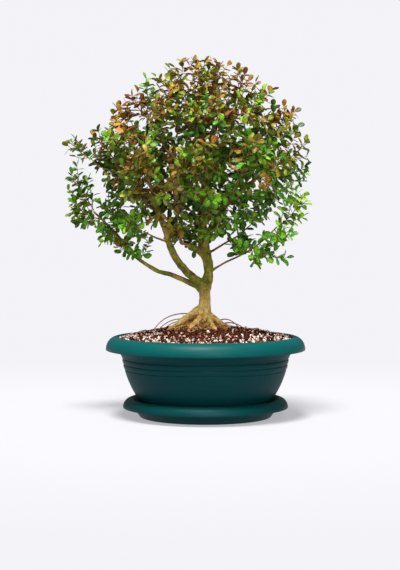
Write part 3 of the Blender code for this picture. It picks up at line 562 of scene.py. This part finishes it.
def make_saucer():
    low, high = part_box("saucer")
    lip_radius = high.x - SAUCER_LIP
    lip_foot_z = high.z - SAUCER_LIP_DROP
    base = high.x - SAUCER_BASE_INSET
    outline = [(0, low.z + SAUCER_WALL, 0), (base - 0.004, low.z + SAUCER_WALL, 0.004)]
    outline += [(lip_radius - 0.0035, high.z - 0.0012, 0.002), (lip_radius - 0.001, high.z, 0.001)]
    outline += arc((lip_radius, lip_foot_z), SAUCER_LIP, SAUCER_LIP_DROP, 88, 4, 16)
    outline += [(high.x - 0.0002, lip_foot_z - 0.0005, 0.0008), (high.x - SAUCER_WALL, lip_foot_z, 0.0008)]
    outline += arc((lip_radius, lip_foot_z), SAUCER_LIP - SAUCER_WALL, SAUCER_LIP_DROP - SAUCER_WALL, 8, 75, 6)
    outline += [(lip_radius - 0.004, lip_foot_z - 0.002, 0.003), (base + 0.0022, low.z + 0.0035, 0.002)]
    outline += [(base, low.z, 0.002), (0, low.z, 0)]
    look = plastic("saucer_plastic", *SAUCER_LOOK)
    add_piece("drip_tray", turned("drip_tray", filleted(outline)[::-1]), look, "saucer_plastic", "saucer")


# Soil


def soil_height(reach):
    """Height of the mound, that far from its middle."""
    return SOIL_EDGE_Z + SOIL_MOUND * (1 - min(reach / SOIL_RADIUS, 1) ** 2)


def lumps(x, y):
    coarse = noise.noise(Vector((x * 60, y * 60, 0)))
    return SOIL_LUMPS * (coarse + 0.6 * noise.noise(Vector((x * 180, y * 180, 3))))


def make_soil_bed():
    """The mound between the chips, closed by a skirt and a flat underside inside the bowl."""
    points = [(0, 0, soil_height(0))]
    faces = []
    for ring in range(1, SOIL_RINGS + 1):
        reach = SOIL_RADIUS * ring / SOIL_RINGS
        for step in range(TURN_STEPS):
            angle = math.tau * step / TURN_STEPS
            x, y = reach * math.cos(angle), reach * math.sin(angle)
            points.append((x, y, soil_height(reach) + lumps(x, y) * min(1, (SOIL_RADIUS - reach) * 200)))
    for radius in (SOIL_RADIUS - SOIL_SKIRT_INSET, 0):
        for step in range(TURN_STEPS if radius else 1):
            angle = math.tau * step / TURN_STEPS
            points.append((radius * math.cos(angle), radius * math.sin(angle), soil_height(1) - SOIL_SKIRT))
    for step in range(TURN_STEPS):
        after = (step + 1) % TURN_STEPS
        faces.append((0, 1 + step, 1 + after))
        for ring in range(SOIL_RINGS):
            low = 1 + ring * TURN_STEPS
            high = low + TURN_STEPS
            faces.append((low + step, high + step, high + after, low + after))
        skirt = 1 + SOIL_RINGS * TURN_STEPS
        faces.append((skirt + step, len(points) - 1, skirt + after))
    mesh = bpy.data.meshes.new("soil_bed")
    mesh.from_pydata(points, [], faces)
    mesh.shade_smooth()
    add_piece("soil_bed", mesh, soil_bed(), "soil", "soil")


def grain_shapes(count, corners, rng, flatness):
    """A few lumpy convex grains about 1 across, as (points, faces)."""
    shapes = []
    for _ in range(count):
        spots = unit(rng.normal(size=(corners, 3))) * rng.uniform(0.38, 0.55, (corners, 1))
        spots *= (1, rng.uniform(0.5, 0.9), flatness)
        hull = bmesh.new()
        for spot in spots:
            hull.verts.new(spot)
        bmesh.ops.convex_hull(hull, input=hull.verts)
        loose = [vert for vert in hull.verts if not vert.link_faces]
        bmesh.ops.delete(hull, geom=loose, context="VERTS")
        hull.verts.index_update()
        shapes.append(
            (np.array([vert.co for vert in hull.verts]), [[v.index for v in face.verts] for face in hull.faces])
        )
        hull.free()
    return shapes


def spin(rng, tilt):
    """A random rotation, with the third axis within about tilt radians of upright."""
    up = unit(np.array((rng.normal(0, tilt), rng.normal(0, tilt), 1.0)))
    side = unit(np.cross(up, (math.cos(rng.uniform(0, math.tau)), math.sin(rng.uniform(0, math.tau)), 0.1)))
    return np.array((side, np.cross(up, side), up))


def perlite_share(reach):
    """How much of the soil's surface is perlite, that far out: little by the trunk, much towards the rim."""
    return 0.02 + 0.98 * np.clip((reach - 0.040) / 0.085, 0, 1) ** 2


def scatter(name, count, shapes, material, rng, share, sizes, tints, tilt, lift):
    """Grains strewn over the mound. Share says how likely a grain is to be kept, that far from the middle."""
    strewn = Gathered()
    while count:
        reach = SOIL_RADIUS * math.sqrt(rng.uniform(0, 1))
        if reach < TRUNK_CLEARANCE or rng.uniform() > share(reach):
            continue
        size = rng.uniform(*sizes)
        reach = min(reach, SOIL_RADIUS - 0.35 * size)
        angle = rng.uniform(0, math.tau)
        x, y = reach * math.cos(angle), reach * math.sin(angle)
        points, faces = shapes[rng.integers(len(shapes))]
        rotated = points @ spin(rng, tilt) * size
        place = (x, y, soil_height(reach) + lumps(x, y) + lift * size)
        tint = np.array(tints[rng.integers(len(tints))]) * rng.uniform(0.75, 1.2)
        strewn.add(rotated + place, faces, np.minimum(tint, 1))
        count -= 1
    mesh = strewn.build(name)
    mesh.shade_flat()
    add_piece(name, mesh, material, "soil")


def make_grains(rng):
    brown = [(0.075, 0.015, 0.008), (0.125, 0.028, 0.014), (0.034, 0.009, 0.005), (0.16, 0.044, 0.022)]
    brown += [(0.085, 0.020, 0.011), (0.045, 0.013, 0.007), (0.30, 0.13, 0.06)]
    white = [(0.80, 0.55, 0.47), (0.90, 0.73, 0.66), (0.62, 0.36, 0.28), (0.92, 0.82, 0.77)]
    chips = grain_shapes(24, 9, rng, 0.34)
    scatter(
        "bark_chips", CHIP_COUNT, chips, bark_chip(), rng, lambda reach: 1 - 0.5 * perlite_share(reach),
        CHIP_SIZES, brown, 0.45, 0.10,
    )
    beads = grain_shapes(24, 16, rng, 0.70)
    scatter(
        "perlite_grains", PERLITE_COUNT, beads, perlite(), rng, perlite_share, PERLITE_SIZES, white, 2.0, 0.22,
    )


# Wood


def thickness_at(mesh):
    """How thick the wood is at each vertex, by a ray to the far side."""
    tree = BVHTree.FromPolygons([v.co for v in mesh.vertices], [p.vertices for p in mesh.polygons])
    thick = np.zeros(len(mesh.vertices))
    for index, vertex in enumerate(mesh.vertices):
        inward = -vertex.normal
        _, _, _, reach = tree.ray_cast(vertex.co + inward * RAY_START, inward, RAY_LENGTH)
        thick[index] = reach + RAY_START if reach else LEAST_THICKNESS
    return thick


def neighbours_of(mesh):
    ends = np.zeros(len(mesh.edges) * 2, np.int32)
    mesh.edges.foreach_get("vertices", ends)
    return ends.reshape(-1, 2)


def evened(values, ends, share):
    """Each value moved by that share towards the mean of its neighbours."""
    total = np.zeros_like(values)
    np.add.at(total, ends[:, 0], values[ends[:, 1]])
    np.add.at(total, ends[:, 1], values[ends[:, 0]])
    count = np.bincount(ends.ravel(), minlength=len(values)).astype(float)
    count = np.maximum(count, 1).reshape(-1, *[1] * (values.ndim - 1))
    return values + share * (total / count - values)


def remeshed(name, source, voxel):
    """A copy of the mesh with even faces, its sharp joins smoothed away."""
    copy = bpy.data.objects.new(name, source.copy())
    bpy.context.scene.collection.objects.link(copy)
    remesh = copy.modifiers.new("even", "REMESH")
    remesh.mode = "VOXEL"
    remesh.voxel_size = voxel
    bpy.context.view_layer.update()
    mesh = bpy.data.meshes.new_from_object(copy.evaluated_get(bpy.context.evaluated_depsgraph_get()))
    bpy.data.objects.remove(copy)
    mesh.name = name
    return mesh


def keep_largest_part(mesh):
    """Removes the crumbs that a remesh leaves of wood thinner than its voxels."""
    ends = neighbours_of(mesh)
    labels = np.arange(len(mesh.vertices))
    while True:
        lower = labels.copy()
        np.minimum.at(lower, ends[:, 0], labels[ends[:, 1]])
        np.minimum.at(lower, ends[:, 1], labels[ends[:, 0]])
        lower = lower[lower]
        if (lower == labels).all():
            break
        labels = lower
    largest = np.bincount(labels).argmax()
    editable = bmesh.new()
    editable.from_mesh(mesh)
    crumbs = [vert for vert, label in zip(editable.verts, labels) if label != largest]
    bmesh.ops.delete(editable, geom=crumbs, context="VERTS")
    editable.to_mesh(mesh)
    editable.free()


def make_wood():
    """The trunk, limbs and surface roots: smoothed where limbs join, with cracks, knobs and a ridged foot."""
    mesh = remeshed("wood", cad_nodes["trunk_and_branches"].data, BARK_VOXEL)
    keep_largest_part(mesh)
    points = np.zeros(len(mesh.vertices) * 3)
    mesh.vertices.foreach_get("co", points)
    points = points.reshape(-1, 3)
    ends = neighbours_of(mesh)
    for _ in range(SMOOTH_PASSES):
        points = evened(evened(points, ends, 0.55), ends, -0.57)
    mesh.vertices.foreach_set("co", points.ravel())
    mesh.update()
    thick = thickness_at(mesh)
    for _ in range(THICKNESS_PASSES):
        thick = evened(thick, ends, 0.6)
    normals = np.array([v.normal for v in mesh.vertices])
    shift = np.zeros(len(points))
    groove_shade = np.zeros(len(points))
    for index, (x, y, z) in enumerate(points):
        long_grain = noise.noise(Vector((x * 260, y * 260, z * 70)))
        ridge = 1 - abs(long_grain) * 2
        knob = noise.noise(Vector((x * 90, y * 90, z * 90 + 5)))
        crumb = noise.noise(Vector((x * 620, y * 620, z * 420)))
        room = min(thick[index], 0.020)
        shift[index] = room * (0.085 * knob - 0.060 * max(ridge - 0.45, 0) + 0.020 * crumb)
        # Painted shade: how much the bark's colour is darkened in the grooves that the ridge term pushes in.
        groove_shade[index] = max(ridge - 0.45, 0) * 1.6 * min(1, room / 0.006)
    points = points + normals * shift[:, None]
    mesh.vertices.foreach_set("co", points.ravel())
    for label, values in (("thickness", thick), ("groove_shade", groove_shade)):
        mesh.attributes.new(label, "FLOAT", "POINT").data.foreach_set("value", values)
    mesh.shade_smooth()
    mesh.update()
    return add_piece("wood", mesh, bark(), "bark", "trunk_and_branches")


def make_fine_roots(rng):
    """A mat of thin roots that spreads over the soil from the trunk's foot, and some that arch clear of it."""
    mat = Gathered()
    golds = [(0.75, 0.46, 0.14), (0.58, 0.30, 0.09), (0.40, 0.17, 0.06)]
    golds += [(0.80, 0.58, 0.26), (0.36, 0.22, 0.06)]
    for index in range(FINE_ROOT_COUNT):
        heading = rng.uniform(0, math.tau)
        reach = rng.uniform(0.002, 0.026)
        turn = rng.normal(0, 0.35)
        length = rng.uniform(0.012, 0.034) * (1.35 if math.cos(heading) < 0 else 1)
        climb = rng.uniform(0.0010, 0.0048)
        points = []
        for step in range(9):
            share = step / 8
            out = reach + length * share
            angle = heading + turn * share + 0.12 * math.sin(share * 9 + index)
            x, y = out * math.cos(angle) - 0.003, out * math.sin(angle)
            rise = climb * math.sin(math.pi * min(1, share * 1.1)) + 0.0090 * (1 - share) ** 3
            points.append((x, y, soil_height(math.hypot(x, y)) + lumps(x, y) + rise - 0.0012 * share**3))
        radius = rng.uniform(0.00032, 0.00085)
        radii = [radius * (1 - 0.55 * k / 8) for k in range(9)]
        tint = np.array(golds[rng.integers(len(golds))]) * rng.uniform(0.7, 1.15)
        mat.add(*tube(points, radii, 5), tint)
    for side, start, span, climb, lift in LONG_ROOTS:
        points = []
        slant = rng.uniform(-0.35, 0.05)
        for step in range(15):
            share = step / 14
            x = side * (start + span * share)
            y = -0.004 + slant * (x * side - start)
            rise = climb * math.sin(math.pi * share**0.8) + lift * (1 - share**5) - 0.002 * share
            points.append((x, y, soil_height(math.hypot(x, y)) + rise))
        radii = [0.00105 - 0.00040 * k / 14 for k in range(15)]
        mat.add(*tube(points, radii, 6), (0.46, 0.21, 0.11))
    add_piece("fine_roots", mat.build("fine_roots"), fine_root(), "bark")


# Leaves


def srgb(red, green, blue):
    """A colour given as 0 to 255 on a screen, in the shader's own scale."""
    shares = np.array((red, green, blue)) / 255
    return np.where(shares < 0.0405, shares / 12.92, ((shares + 0.055) / 1.055) ** 2.4)


DARK_GREEN = srgb(32, 76, 14)
MID_GREEN = srgb(80, 134, 22)
FRESH_GREEN = srgb(108, 168, 38)
LIME = srgb(168, 218, 56)
OLIVE = srgb(126, 124, 34)
BRONZE = srgb(150, 108, 38)
RUST = srgb(144, 74, 34)
ORANGE = srgb(190, 102, 34)
PLUM = srgb(112, 54, 40)


# Where the leaves turn warm, seen from the front: x, z, radius, how much likelier
WARM_PATCHES = (
    (-0.130, 0.455, 0.035, 0.50),
    (-0.105, 0.375, 0.035, 0.45),
    (-0.025, 0.375, 0.030, 0.30),
    (-0.065, 0.335, 0.036, 0.55),
    (0.000, 0.515, 0.045, 0.35),
    (0.060, 0.500, 0.040, 0.20),
)
# Shoots whose leaves all have one tint
SHOOT_TINTS = {
    "low_right_twig_shoot_1": LIME,
    "upper_left_limb_shoot_1": srgb(128, 176, 84),
    "upper_left_limb_shoot_2": RUST,
    "lone_twig_shoot_1": OLIVE,
    "trunk_shoot_2": BRONZE,
}


def leaf_tint(place, rng):
    """Leaves are green below and on the right, and turn bronze and rust near the top and on the upper left."""
    x, _, z = place
    warm = np.clip((z - 0.36) / 0.14, 0, 1) * 0.58
    for middle_x, middle_z, radius, strength in WARM_PATCHES:
        warm += strength * math.exp(-((x - middle_x) ** 2 + (z - middle_z) ** 2) / radius**2)
    warm += 0.16 * noise.noise(Vector(place) * 22) + 0.04
    bright = np.clip((x + 0.02) / 0.16, 0, 1) * np.clip((0.44 - z) / 0.1, 0, 1)
    draw = rng.uniform()
    if draw < warm:
        kinds, odds = (OLIVE, BRONZE, RUST, ORANGE, PLUM), (0.37, 0.27, 0.17, 0.05, 0.14)
    else:
        fresh = 0.16 + 0.26 * bright
        kinds = (DARK_GREEN, MID_GREEN, FRESH_GREEN, OLIVE, LIME)
        odds = (0.40 - fresh / 2, 0.40, fresh, 0.22 - fresh / 2, 0.02)
    first = kinds[rng.choice(len(kinds), p=np.array(odds) / sum(odds))]
    second = kinds[rng.choice(len(kinds), p=np.array(odds) / sum(odds))]
    mix = rng.uniform(0, 0.5)
    # Painted light: the tint is raised for leaves low on the sides, to lift the crown's shade there, and for
    # leaves near the top, for the overhead light.
    painted_light_gain = 1 + 0.45 * np.clip((0.34 - z) / 0.06, 0, 1) * np.clip((abs(x) - 0.04) / 0.04, 0, 1)
    painted_light_gain += 0.32 * np.clip((z - 0.44) / 0.06, 0, 1)
    return (first * (1 - mix) + second * mix) * painted_light_gain * math.exp(rng.uniform(-0.50, 0.62))


class Foliage:
    """Plans where leaves go, keeping them apart, and makes the meshes of twigs and leaves."""

    def __init__(self, rng, low, high):
        self.rng = rng
        self.low = np.array(low)
        self.high = np.array(high)
        self.cells = {}
        self.middles = []

    def has_room(self, middle):
        """True inside the CAD's box where no leaf's middle is nearer than LEAF_ROOM. The place is then taken."""
        if (middle < self.low).any() or (middle > self.high).any():
            return False
        cell = tuple(np.floor(middle / LEAF_ROOM).astype(int))
        for dx in (-1, 0, 1):
            for dy in (-1, 0, 1):
                for dz in (-1, 0, 1):
                    for other in self.cells.get((cell[0] + dx, cell[1] + dy, cell[2] + dz), ()):
                        if np.linalg.norm(other - middle) < LEAF_ROOM:
                            return False
        self.cells.setdefault(cell, []).append(middle)
        self.middles.append(middle)
        return True

    def pair(self, leaves, foot, heading, side, size, tint_of):
        """Two leaves on opposite sides of a twig."""
        for out in (side, -side):
            lean = math.radians(self.rng.uniform(42, 72))
            way = heading * math.cos(lean) + out * math.sin(lean) + (0, 0, -0.10)
            way = unit(way + self.rng.normal(0, 0.12, 3))
            length = LEAF_LENGTH * size * self.rng.uniform(0.82, 1.14)
            middle = foot + way * length * 0.55
            if not self.has_room(middle):
                continue
            light = unit(middle - CROWN_MIDDLE) * 0.55 + (0, -0.05, 0.55) + heading * 0.35
            light = light + self.rng.normal(0, 0.30, 3)
            up = unit(light - way * light.dot(way))
            leaves.append((foot, way, up, length, tint_of(middle)))

    def leafy_twig(self, leaves, twigs, points, radius, size, tint_of, bare=0.0):
        """Leaf pairs along a twig, each at right angles to the last, and two leaves at its end."""
        lengths = np.concatenate([[0], np.cumsum(np.linalg.norm(np.diff(points, axis=0), axis=1))])
        total = lengths[-1]
        ways = unit(np.gradient(points, axis=0))
        side = unit(np.cross(ways[0], self.rng.normal(size=3)))
        shared = tint_of(points[-1])

        def tint_near(place):
            """The leaves of one twig are alike."""
            share = self.rng.uniform(0.35, 0.85)
            return share * shared + (1 - share) * tint_of(place)

        reach = bare + NODE_SPACING * self.rng.uniform(0.4, 0.9)
        while reach < total:
            index = min(int(np.searchsorted(lengths, reach)), len(points) - 1)
            share = (reach - lengths[index - 1]) / max(lengths[index] - lengths[index - 1], 1e-9)
            foot = points[index - 1] + (points[index] - points[index - 1]) * share
            way = ways[index]
            side = unit(np.cross(way, side))
            late = reach / total
            self.pair(leaves, foot, way, side, size * (1.02 - 0.25 * late), tint_near)
            reach += NODE_SPACING * self.rng.uniform(0.85, 1.2) * (1 - 0.3 * late)
        side = unit(np.cross(ways[-1], side))
        for tilt in (side, -side):
            self.tip_leaf(leaves, points[-1], unit(ways[-1] + tilt * 0.42), size * 0.80, tint_near)
        twigs.append((points, np.linspace(radius, 0.55 * radius, len(points))))

    def tip_leaf(self, leaves, foot, way, size, tint_of):
        length = LEAF_LENGTH * size
        if not self.has_room(foot + way * length * 0.6):
            return
        light = np.array((0, -0.2, 1.0)) + self.rng.normal(0, 0.4, 3)
        up = unit(light - way * light.dot(way))
        leaves.append((foot, way, up, length, tint_of(foot)))

    def spray(self, root, middle, tip, own=None):
        """A leafy shoot with side twigs, as (leaves, twigs). Own is the tint that most of its leaves have."""
        leaves, twigs = [], []
        axis = bent(root, middle, tip, 15)

        def tint_of(place):
            if own is not None and self.rng.uniform() < 0.75:
                return own * self.rng.uniform(0.75, 1.2)
            return leaf_tint(place, self.rng)

        self.leafy_twig(leaves, twigs, axis, 1.25 * TWIG_RADIUS, 1.0, tint_of, bare=SHOOT_FOOT)
        ways = unit(np.gradient(axis, axis=0))
        span = np.linalg.norm(tip - root)
        turn = self.rng.uniform(0, math.tau)
        for index in range(SIDE_TWIGS):
            share = 0.10 + 0.74 * index / (SIDE_TWIGS - 1)
            at = axis[int(share * (len(axis) - 1))]
            way = ways[int(share * (len(axis) - 1))]
            turn += math.radians(137)
            across = unit(np.cross(way, (0.2, 0.3, 0.93)))
            out = across * math.cos(turn) + np.cross(way, across) * math.sin(turn)
            length = min(span, 0.055) * self.rng.uniform(0.38, 0.68) * (1.05 - 0.5 * share)
            heading = unit(way * 0.75 + out * 0.8 + (0, 0, 0.15))
            bend = at + heading * length * 0.5
            end = at + heading * length + way * length * 0.22 + (0, 0, 0.10 * length)
            points = trimmed(bent(at, bend, end, 12))
            if len(points) > 3:
                self.leafy_twig(leaves, twigs, points, TWIG_RADIUS, 0.94, tint_of)
        return leaves, twigs

    def fill(self, anchors, twigs):
        """Twigs that reach from wood and other twigs into the crown's gaps, as (leaves, twigs) for each."""
        anchors = np.concatenate([anchors, *[points[3:] for points in twigs]])
        made = []
        for middle, radii in [(lobe[0], lobe[1]) for lobe in LOBES for _ in range(lobe[2])]:
            reach = min(1 + 0.16 * self.rng.normal(), 1.15) * self.rng.uniform(0.5, 1)
            spot = np.array(middle) + unit(self.rng.normal(size=3)) * radii * reach
            if in_view_of_trunk(spot) or not in_crown(spot):
                continue
            if np.linalg.norm(np.array(self.middles) - spot, axis=1).min() < FILL_ROOM:
                continue
            reaches = np.linalg.norm(anchors - spot, axis=1)
            start = anchors[int(np.argmin(reaches))]
            span = reaches.min()
            if not FILL_REACH[0] < span < FILL_REACH[1]:
                continue
            sag = np.array((0, 0, -0.12 * span)) + self.rng.normal(0, 0.05 * span, 3)
            points = bent(start, (start + spot) / 2 + sag, spot, 9)
            leaves, grown = [], []
            self.leafy_twig(
                leaves, grown, points, TWIG_RADIUS, self.rng.uniform(0.85, 1.0),
                lambda place: leaf_tint(place, self.rng), bare=max(0.001, span - FILL_LEAFY),
            )
            if leaves:
                anchors = np.concatenate([anchors, points[3:]])
                made.append((leaves, grown))
        return made


def in_crown(spot):
    """False beyond the outline of the upper crown, whose level slices are ellipses."""
    heights, lefts, rights = np.transpose(CROWN_OUTLINE)
    if spot[2] < heights[0]:
        return True
    left, right = np.interp(spot[2], heights, lefts), np.interp(spot[2], heights, rights)
    half = (right - left) / 2
    return ((spot[0] - left - half) / half) ** 2 + (spot[1] / min(half, CROWN_DEPTH)) ** 2 < 1


def trimmed(points):
    """The points before the first one that is beyond the crown's outline."""
    beyond = [index for index, point in enumerate(points) if not in_crown(point)]
    return points[: beyond[0]] if beyond else points


def in_view_of_trunk(spot):
    """True in front of the trunk, the fork and the gap left of it, which stay bare on the near side."""
    (left, right), rear, top = BARE_FRONT
    return spot[1] < rear and spot[2] < top and left < spot[0] < right


def leaf_template():
    """The leaf's points as (share of its length, side -1 to 1, width share, upper 1 or lower -1), and faces."""
    spots = []
    for share, width in LEAF_STATIONS:
        for side in (-1, -0.5, 0, 0.5, 1):
            spots.append((share, side, width, 1))
        spots.append((share, 0, width, -1))
    spots.append((1.0, 0, 0, 0))
    faces = []
    ring = 6
    for station in range(len(LEAF_STATIONS) - 1):
        low, high = station * ring, (station + 1) * ring
        faces += [(low + k, low + (k + 1) % ring, high + (k + 1) % ring, high + k) for k in range(ring)]
    last = (len(LEAF_STATIONS) - 1) * ring
    faces += [(last + k, last + (k + 1) % ring, len(spots) - 1) for k in range(ring)]
    faces.append(tuple(range(ring))[::-1])
    return np.array(spots), faces


def add_leaves(gathered, leaves, rng):
    spots, faces = leaf_template()
    share, side, width, skin = spots.T
    for foot, way, up, length, tint in leaves:
        across = np.cross(way, up)
        half = length * LEAF_WIDTH / 2 * rng.uniform(0.88, 1.12)
        fold = rng.uniform(-0.10, 0.42)
        arch = rng.uniform(-0.05, 0.34)
        twist = rng.normal(0, 0.12)
        rise = fold * half * width * np.abs(side) ** 1.4 - arch * length * share**2
        rise = rise + skin * (1 - np.abs(side)) * LEAF_THICKNESS * width + twist * half * side * share
        points = foot + np.outer(share * length, way) + np.outer(side * width * half, across) + np.outer(rise, up)
        rib = np.where((side == 0) & (skin > 0), 1.25, 1.0)
        under = tint * LEAF_UNDERSIDE[0] + np.array(LEAF_UNDERSIDE[1])
        tints = np.where(skin[:, None] >= 0, tint * rib[:, None], under)
        gathered.add(points, faces, np.clip(tints, 0, 1))


def shoot_ends(mesh, wood_tree):
    """Where a shoot of the frame leaves its limb, its middle, and its tip."""
    points = np.array([v.co for v in mesh.vertices])
    nearest = [wood_tree.find_nearest(Vector(point))[3] for point in points]
    root = points[int(np.argmin(nearest))]
    reach = np.linalg.norm(points - root, axis=1)
    tip = points[int(np.argmax(reach))]
    along = (points - root) @ unit(tip - root) / np.linalg.norm(tip - root)
    band = points[(along > 0.25) & (along < 0.65)]
    middle = band.mean(axis=0) if len(band) else (root + tip) / 2
    return root, middle, tip


def add_twigs(gathered, twigs):
    for points, radii in twigs:
        gathered.add(*tube(points, radii, 5), TWIG_TINT)


def make_foliage(rng, wood):
    """Each leafy shoot of the frame as a fuller spray, and leafy twigs that fill the crown between them."""
    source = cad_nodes["trunk_and_branches"].data
    wood_tree = BVHTree.FromPolygons([v.co for v in source.vertices], [p.vertices for p in source.polygons])
    low, high = cad_box
    foliage = Foliage(rng, low, high)
    look = leaf()
    planned = []
    for name in sorted(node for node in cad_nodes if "_shoot_" in node):
        root, middle, tip = shoot_ends(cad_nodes[name].data, wood_tree)
        leaves, twigs = foliage.spray(root, middle, tip - unit(tip - root) * SHOOT_FOOT, SHOOT_TINTS.get(name))
        planned += [points for points, _ in twigs]
        piece = Gathered()
        add_leaves(piece, leaves, rng)
        add_twigs(piece, twigs)
        add_piece(name.replace("_shoot_", "_spray_"), piece.build(name), look, "leaf", name)
    thick = np.zeros(len(wood.data.vertices))
    wood.data.attributes["thickness"].data.foreach_get("value", thick)
    anchors = np.array([v.co for v in wood.data.vertices])
    anchors = anchors[(thick < ANCHOR_THICKNESS) & (anchors[:, 2] > LOWEST_TWIG)][::ANCHOR_STEP]
    pieces = [Gathered() for _ in range(FILL_PIECES)]
    for leaves, twigs in foliage.fill(anchors, planned):
        angle = math.atan2(leaves[0][0][1], leaves[0][0][0])
        piece = pieces[int((angle / math.tau + 0.5) * FILL_PIECES) % FILL_PIECES]
        add_leaves(piece, leaves, rng)
        add_twigs(piece, twigs)
    for index, piece in enumerate(pieces):
        if piece.count:
            add_piece(f"inner_twigs_{index + 1}", piece.build(f"inner_twigs_{index + 1}"), look, "leaf")


# Stage


def make_stage():
    mesh = bpy.data.meshes.new("floor")
    half = FLOOR_SIZE / 2
    mesh.from_pydata([(-half, -half, 0), (half, -half, 0), (half, half, 0), (-half, half, 0)], [], [(0, 1, 2, 3)])
    floor = bpy.data.objects.new("floor", mesh)
    bpy.context.scene.collection.objects.link(floor)
    look = Shader("floor", 0.9, Specular_IOR_Level=0.1)
    shade = look.spread(look.noise(2, 2), 0.3, 0.7)
    mesh.materials.append(look.finish(look.mix(look.between(shade, 0, 0.3), *FLOOR_COLOURS)))
    reach = look.node("ShaderNodeVectorMath", operation="LENGTH")
    look.feed(reach.inputs[0], look.place)
    glow = look.node("ShaderNodeEmission")
    glow.inputs["Color"].default_value = (*BACKGROUND, 1)
    dim = look.node("ShaderNodeBsdfDiffuse")
    dim.inputs["Color"].default_value = (FLOOR_BOUNCE, FLOOR_BOUNCE, FLOOR_BOUNCE, 1)
    seen = look.node("ShaderNodeMixShader")
    look.feed(seen.inputs[0], look.node("ShaderNodeLightPath").outputs["Is Camera Ray"])
    look.feed(seen.inputs[1], dim.outputs[0])
    look.feed(seen.inputs[2], look.surface.outputs[0])
    fade = look.node("ShaderNodeMixShader")
    look.feed(fade.inputs[0], look.between(look.spread(reach.outputs["Value"], *FLOOR_FADE), FLOOR_GLOW, 1))
    look.feed(fade.inputs[1], seen.outputs[0])
    look.feed(fade.inputs[2], glow.outputs[0])
    look.feed(look.tree.nodes["Material Output"].inputs[0], fade.outputs[0])
    floor.location.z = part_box("saucer")[0].z - 0.0002


def make_light():
    for name, angles, strength, softness in (
        ("key", KEY_ANGLES, KEY_STRENGTH, KEY_SOFTNESS),
        ("front", FRONT_ANGLES, FRONT_STRENGTH, FRONT_SOFTNESS),
    ):
        lamp = bpy.data.lights.new(name, "SUN")
        lamp.energy = strength
        lamp.angle = softness
        item = bpy.data.objects.new(name, lamp)
        item.rotation_euler = angles
        bpy.context.scene.collection.objects.link(item)
    world = bpy.data.worlds.new("studio")
    world.use_nodes = True
    bpy.context.scene.world = world
    nodes, links = world.node_tree.nodes, world.node_tree.links
    sky = nodes["Background"]
    sky.inputs["Color"].default_value = (*SKY_COLOUR, 1)
    sky.inputs["Strength"].default_value = SKY_STRENGTH
    seen = nodes.new("ShaderNodeBackground")
    seen.inputs["Color"].default_value = (*BACKGROUND, 1)
    paths = nodes.new("ShaderNodeLightPath")
    mixer = nodes.new("ShaderNodeMixShader")
    links.new(paths.outputs["Is Camera Ray"], mixer.inputs[0])
    links.new(sky.outputs[0], mixer.inputs[1])
    links.new(seen.outputs[0], mixer.inputs[2])
    links.new(mixer.outputs[0], nodes["World Output"].inputs[0])
    bpy.context.scene.view_settings.view_transform = "Standard"


def make_camera():
    lens = bpy.data.cameras.new("camera")
    lens.lens = CAMERA_LENS_MM
    lens.sensor_fit = "HORIZONTAL"
    lens.sensor_width = CAMERA_FRAME_MM
    camera = bpy.data.objects.new("camera", lens)
    camera.location = CAMERA_PLACE
    aim = Vector(CAMERA_AIM) - Vector(CAMERA_PLACE)
    camera.rotation_euler = aim.to_track_quat("-Z", "Y").to_euler()
    bpy.context.scene.collection.objects.link(camera)
    bpy.context.scene.camera = camera


rng = np.random.default_rng(SEED)
make_camera()
make_light()
make_stage()
make_bowl()
make_saucer()
make_soil_bed()
make_grains(rng)
wood = make_wood()
make_fine_roots(rng)
make_foliage(rng, wood)
